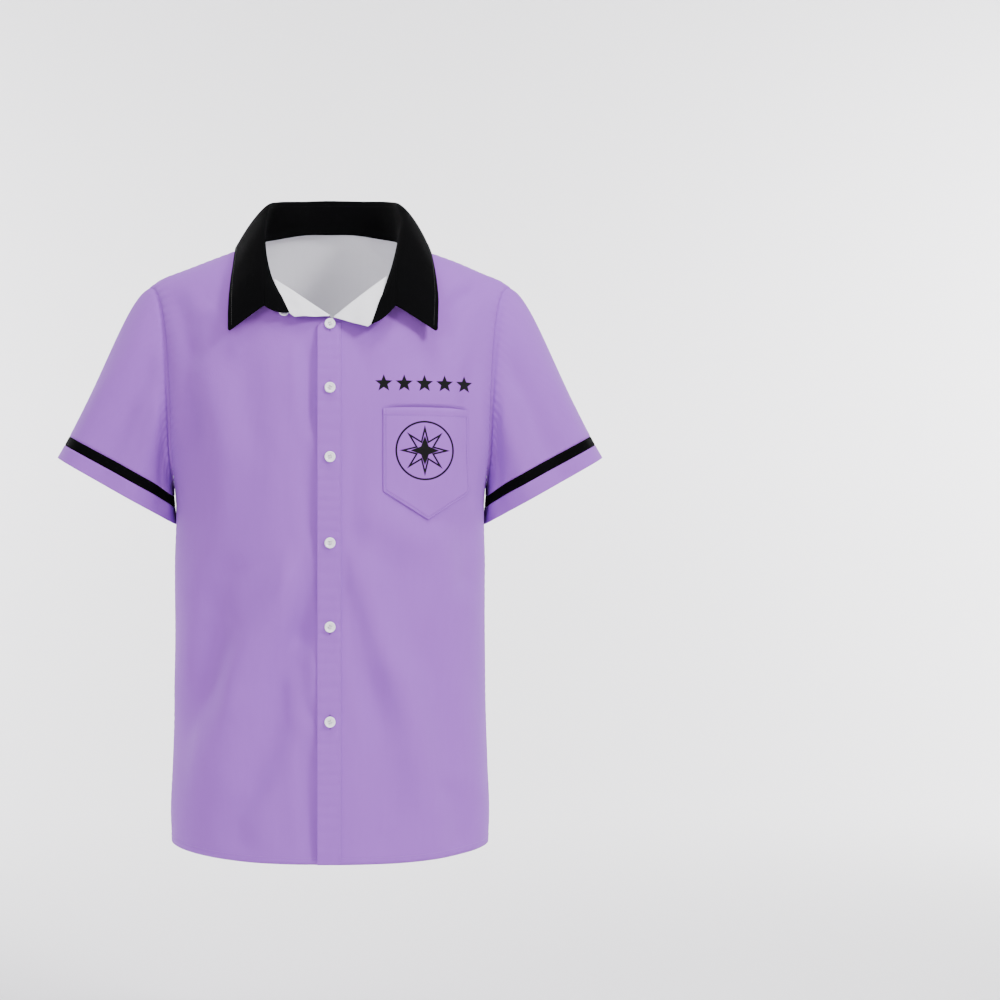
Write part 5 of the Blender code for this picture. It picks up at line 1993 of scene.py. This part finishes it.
# ---------------------------------------------------------------- studio
@dataclass
class Studio:
    """A pale sweep of paper, soft lights and a camera square on to the shirt's front."""

    floor_z: float = -1.02
    wall_y: float = 3.6
    half_width: float = 6.0
    bend: float = 0.9
    camera_at: tuple[float, float, float] = (0.0, -2.4, -0.348)
    lens: float = 72.0
    shift: tuple[float, float] = (0.17, 0.031)

    def sweep(self, paper: Finish) -> Piece:
        """Floor and wall in one sheet: flat, a quarter circle, then upright."""
        swing = np.linspace(0.0, math.pi / 2, 25)
        y = np.concatenate([[-6.0], self.wall_y - self.bend + self.bend * np.sin(swing), [self.wall_y]])
        z = np.concatenate([[0.0], self.bend * (1.0 - np.cos(swing)), [5.0]]) + self.floor_z
        x = np.linspace(-self.half_width, self.half_width, 3)
        grid = np.stack(np.broadcast_arrays(x[None], y[:, None], z[:, None]), axis=-1)
        return place_piece("paper_sweep", joined([grid], (0, -1, 1)), [paper])

    def lamp(
        self, name: str, at: Sequence[float], aim: Sequence[float], size: float, power: float,
    ) -> Piece:
        """Set a square soft light.

        Args:
            name: the light's name.
            at: where it stands.
            aim: what it looks at.
            size: its side.
            power: in watts.

        Returns:
            The light.
        """
        data = bpy.data.lights.new(name, "AREA")
        data.size = size
        data.energy = power
        lamp = bpy.data.objects.new(name, data)
        lamp.location = at
        lamp.rotation_euler = (Vector(aim) - Vector(at)).to_track_quat("-Z", "Y").to_euler()
        bpy.context.scene.collection.objects.link(lamp)
        return lamp

    def build(self) -> None:
        """Set the sweep, the lights, the even surround light and the camera."""
        self.sweep(Paper("matt_background_paper", "#fbfafc").material())
        middle = (0.0, 0.0, -0.35)
        self.lamp("key_softbox", (2.2, -1.75, 1.7), middle, 0.8, 116.0)
        self.lamp("fill_softbox", (-1.5, -2.6, 0.7), middle, 1.4, 40.0)
        self.lamp("top_softbox", (0.1, -0.7, 2.5), middle, 1.0, 55.0)
        self.lamp("back_softbox", (-2.4, 1.3, 1.6), middle, 0.8, 40.0)
        self.lamp("back_fill_softbox", (1.5, 2.5, 0.7), middle, 1.4, 8.0)
        self.lamp("wall_softbox_left", (-2.8, 1.9, 0.4), (-1.2, self.wall_y, -0.2), 1.5, 130.0)
        self.lamp("wall_softbox_right", (2.8, 1.9, 0.4), (1.2, self.wall_y, -0.2), 1.5, 130.0)
        world = bpy.data.worlds.new("studio_surround")
        world.use_nodes = True
        shade = world.node_tree.nodes["Background"]
        shade.inputs[0].default_value = linear("#f2f2f6")
        shade.inputs[1].default_value = 0.5
        bpy.context.scene.world = world
        data = bpy.data.cameras.new("view")
        data.lens = self.lens
        data.sensor_width = 36.0
        data.shift_x, data.shift_y = self.shift
        camera = bpy.data.objects.new("view", data)
        camera.location = self.camera_at
        camera.rotation_euler = (math.pi / 2, 0.0, 0.0)
        bpy.context.scene.collection.objects.link(camera)
        bpy.context.scene.camera = camera


# ---------------------------------------------------------------- the shirt
def show(piece: Piece, slot: str, *nodes: str) -> Piece:
    """Let a piece ride on the part's body.

    Args:
        piece: the piece.
        slot: not used.
        nodes: the solids it stands for.

    Returns:
        The piece.
    """
    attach(piece, BODY)
    if nodes:
        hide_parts(*nodes)
    LOG.info("%s: %d points", piece.name, len(piece.data.vertices))
    return piece


# The print's ground, and the slightly deeper tone that varies it.
LILAC = ("#9b5bc7", "#9455c0")
# Heights of the front buttons, and how far their bases and the buttonholes' threads stand off the front.
BUTTON_Z = (-0.1112, -0.1850, -0.2640, -0.3616, -0.4569, -0.5644)
BUTTON_OFF = 0.0018
BUTTONHOLE_OFF = 0.0011
# The collar's button hangs on the stand's end: its place, and where its face looks.
COLLAR_BUTTON_AT = np.array([-0.0535, -0.0965, -0.0945])
COLLAR_BUTTON_LOOKS = np.array([0.25, -0.93, 0.20])
# The row of stitches on a sleeve's hem is this far from the stripe.
SLEEVE_STITCH = 0.0014

# Plain ornament in black. Metres in the shirt's frame.
POCKET_STAR = Motif(0.1085, -0.2560, (
    Ring(0.0330, 0.0011), Star(8, 0.0295, 0.0120, 0.0010), Star(4, 0.0170, 0.0065, 0.0),
))
CHEST_ROW = Repeat(0.1085, -0.1790, Star(5, 0.0105, 0.0045, 0.0), 5, 0.0235)
BACK_ARCH = Repeat(0.0, -0.3375, Star(5, 0.0240, 0.0100, 0.0), 7, 0.0500, 0.2570)
BACK_STAR = Motif(0.0, -0.2740, (
    Ring(0.1300, 0.0014), Star(16, 0.1230, 0.0640, 0.0014), Star(8, 0.0960, 0.0330, 0.0014, math.pi / 8),
    Star(8, 0.0600, 0.0220, 0.0), Ring(0.0150, 0.0011),
))


def build_shirt() -> None:
    """Build every piece of the shirt in order, and hide the solids that each stands for."""
    weave = Weave(pitch=0.0011, relief=0.00005, slub=160.0)
    lilac = Cloth("printed_poplin_lilac", *LILAC, weave).material()
    ornament = {"front": (CHEST_ROW,), "pocket": (POCKET_STAR,), "back": (BACK_ARCH, BACK_STAR)}
    printed = {
        name: Cloth(f"printed_poplin_lilac_{name}", *LILAC, weave, prints=prints).material()
        for name, prints in ornament.items()
    }
    reverse = Cloth(
        "unprinted_poplin_reverse", "#fbfaff", "#f6f4fb", weave, rough=0.85, sheen=0.10,
    ).material()
    black = Cloth(
        "dyed_poplin_black", "#050506", "#030304", weave, rough=0.85, sheen=0.0, specular=0.04,
    ).material()
    lilac_thread = Thread("spun_polyester_thread_lilac", "#9a5ac8").material()
    black_thread = Thread("spun_polyester_thread_black", "#08080a").material()
    white_thread = Thread("spun_polyester_thread_white", "#c3bacd").material()
    resin = Resin("cast_polyester_resin_white", "#fefcff", "#f5f2fa").material()

    form, rows, seams, hem = BodyForm(), GridRows(), Seams(), Hem()
    lapel_edges: dict[Half, Array] = {}
    fronts: dict[Half, Front] = {}
    hem_lines: list[Line] = []
    for half in Half:
        front = Front(form, half, rows, seams, hem)
        face = printed["front"] if half is Half.LEFT else lilac
        piece, grid, normal, lapel_edges[half] = front.build(face, reverse)
        show(piece, "lilac_cloth", f"front_{half.word}")
        fronts[half] = front
        hem_lines.append(line_above(grid, normal, hem.depth))
    back, grids, normals = Back(form, rows, seams, hem).build(printed["back"], reverse)
    show(back, "lilac_cloth", "back")
    hem_lines += [line_above(grid, normal, hem.depth) for grid, normal in zip(grids, normals)]
    show(Stitching().sew("hem_stitching", hem_lines, lilac_thread), "lilac_cloth")

    for half in Half:
        sleeve = Sleeve(form, rows, seams, half)
        pieces, arrays = sleeve.build({
            "sleeve": [lilac, reverse], "sleeve_stripe": [black], "sleeve_hem": [lilac, reverse],
        })
        for name, piece in pieces.items():
            show(piece, "black_cloth" if name == "sleeve_stripe" else "lilac_cloth", f"{name}_{half.word}")
        lines = [line_above(*arrays["sleeve_hem"], SLEEVE_STITCH)]
        sewing = show(Stitching().sew(f"sleeve_stitching_{half.word}", lines, lilac_thread), "lilac_cloth")

    band, fall, edge = Collar(form).build(lapel_edges, black, black_thread)
    show(band, "black_cloth", "collar_band")
    show(fall, "black_cloth", "collar_fall")
    show(edge, "black_cloth")

    left = fronts[Half.LEFT]
    strip, strip_sewing = Placket(left).build(lilac, lilac_thread)
    show(strip, "lilac_cloth", "placket")
    show(strip_sewing, "lilac_cloth")
    patch, patch_sewing = Pocket(left).build(printed["pocket"], lilac_thread)
    show(patch, "lilac_cloth", "pocket")
    show(patch_sewing, "lilac_cloth")

    holes = [Buttonhole().lines(left, z, BUTTONHOLE_OFF) for z in BUTTON_Z]
    show(tube_piece("buttonholes", np.concatenate(holes), Buttonhole.radius, 5, lilac_thread), "lilac_cloth")
    buttons = []
    for number, z in enumerate(BUTTON_Z, 1):
        base, normal = left.surface(np.array([0.0]), np.array([z]))
        at, turn = base[0] + normal[0] * BUTTON_OFF, 0.5 * math.sin(number * 2.3)
        buttons.append((f"button_{number}", at, normal[0], turn))
    buttons.append(("collar_button", COLLAR_BUTTON_AT, COLLAR_BUTTON_LOOKS, 0.3))
    for name, at, looks, turn in buttons:
        made, sewn = Button().build(name, at, looks, turn, resin, white_thread)
        show(made, "white_button", name)
        show(sewn, "white_button")


def main() -> None:
    """Build the studio and the shirt."""
    logging.basicConfig(level=logging.INFO, format="%(name)s %(message)s")
    Studio().build()
    build_shirt()
    bpy.context.view_layer.update()


if __name__ == "__main__":
    main()
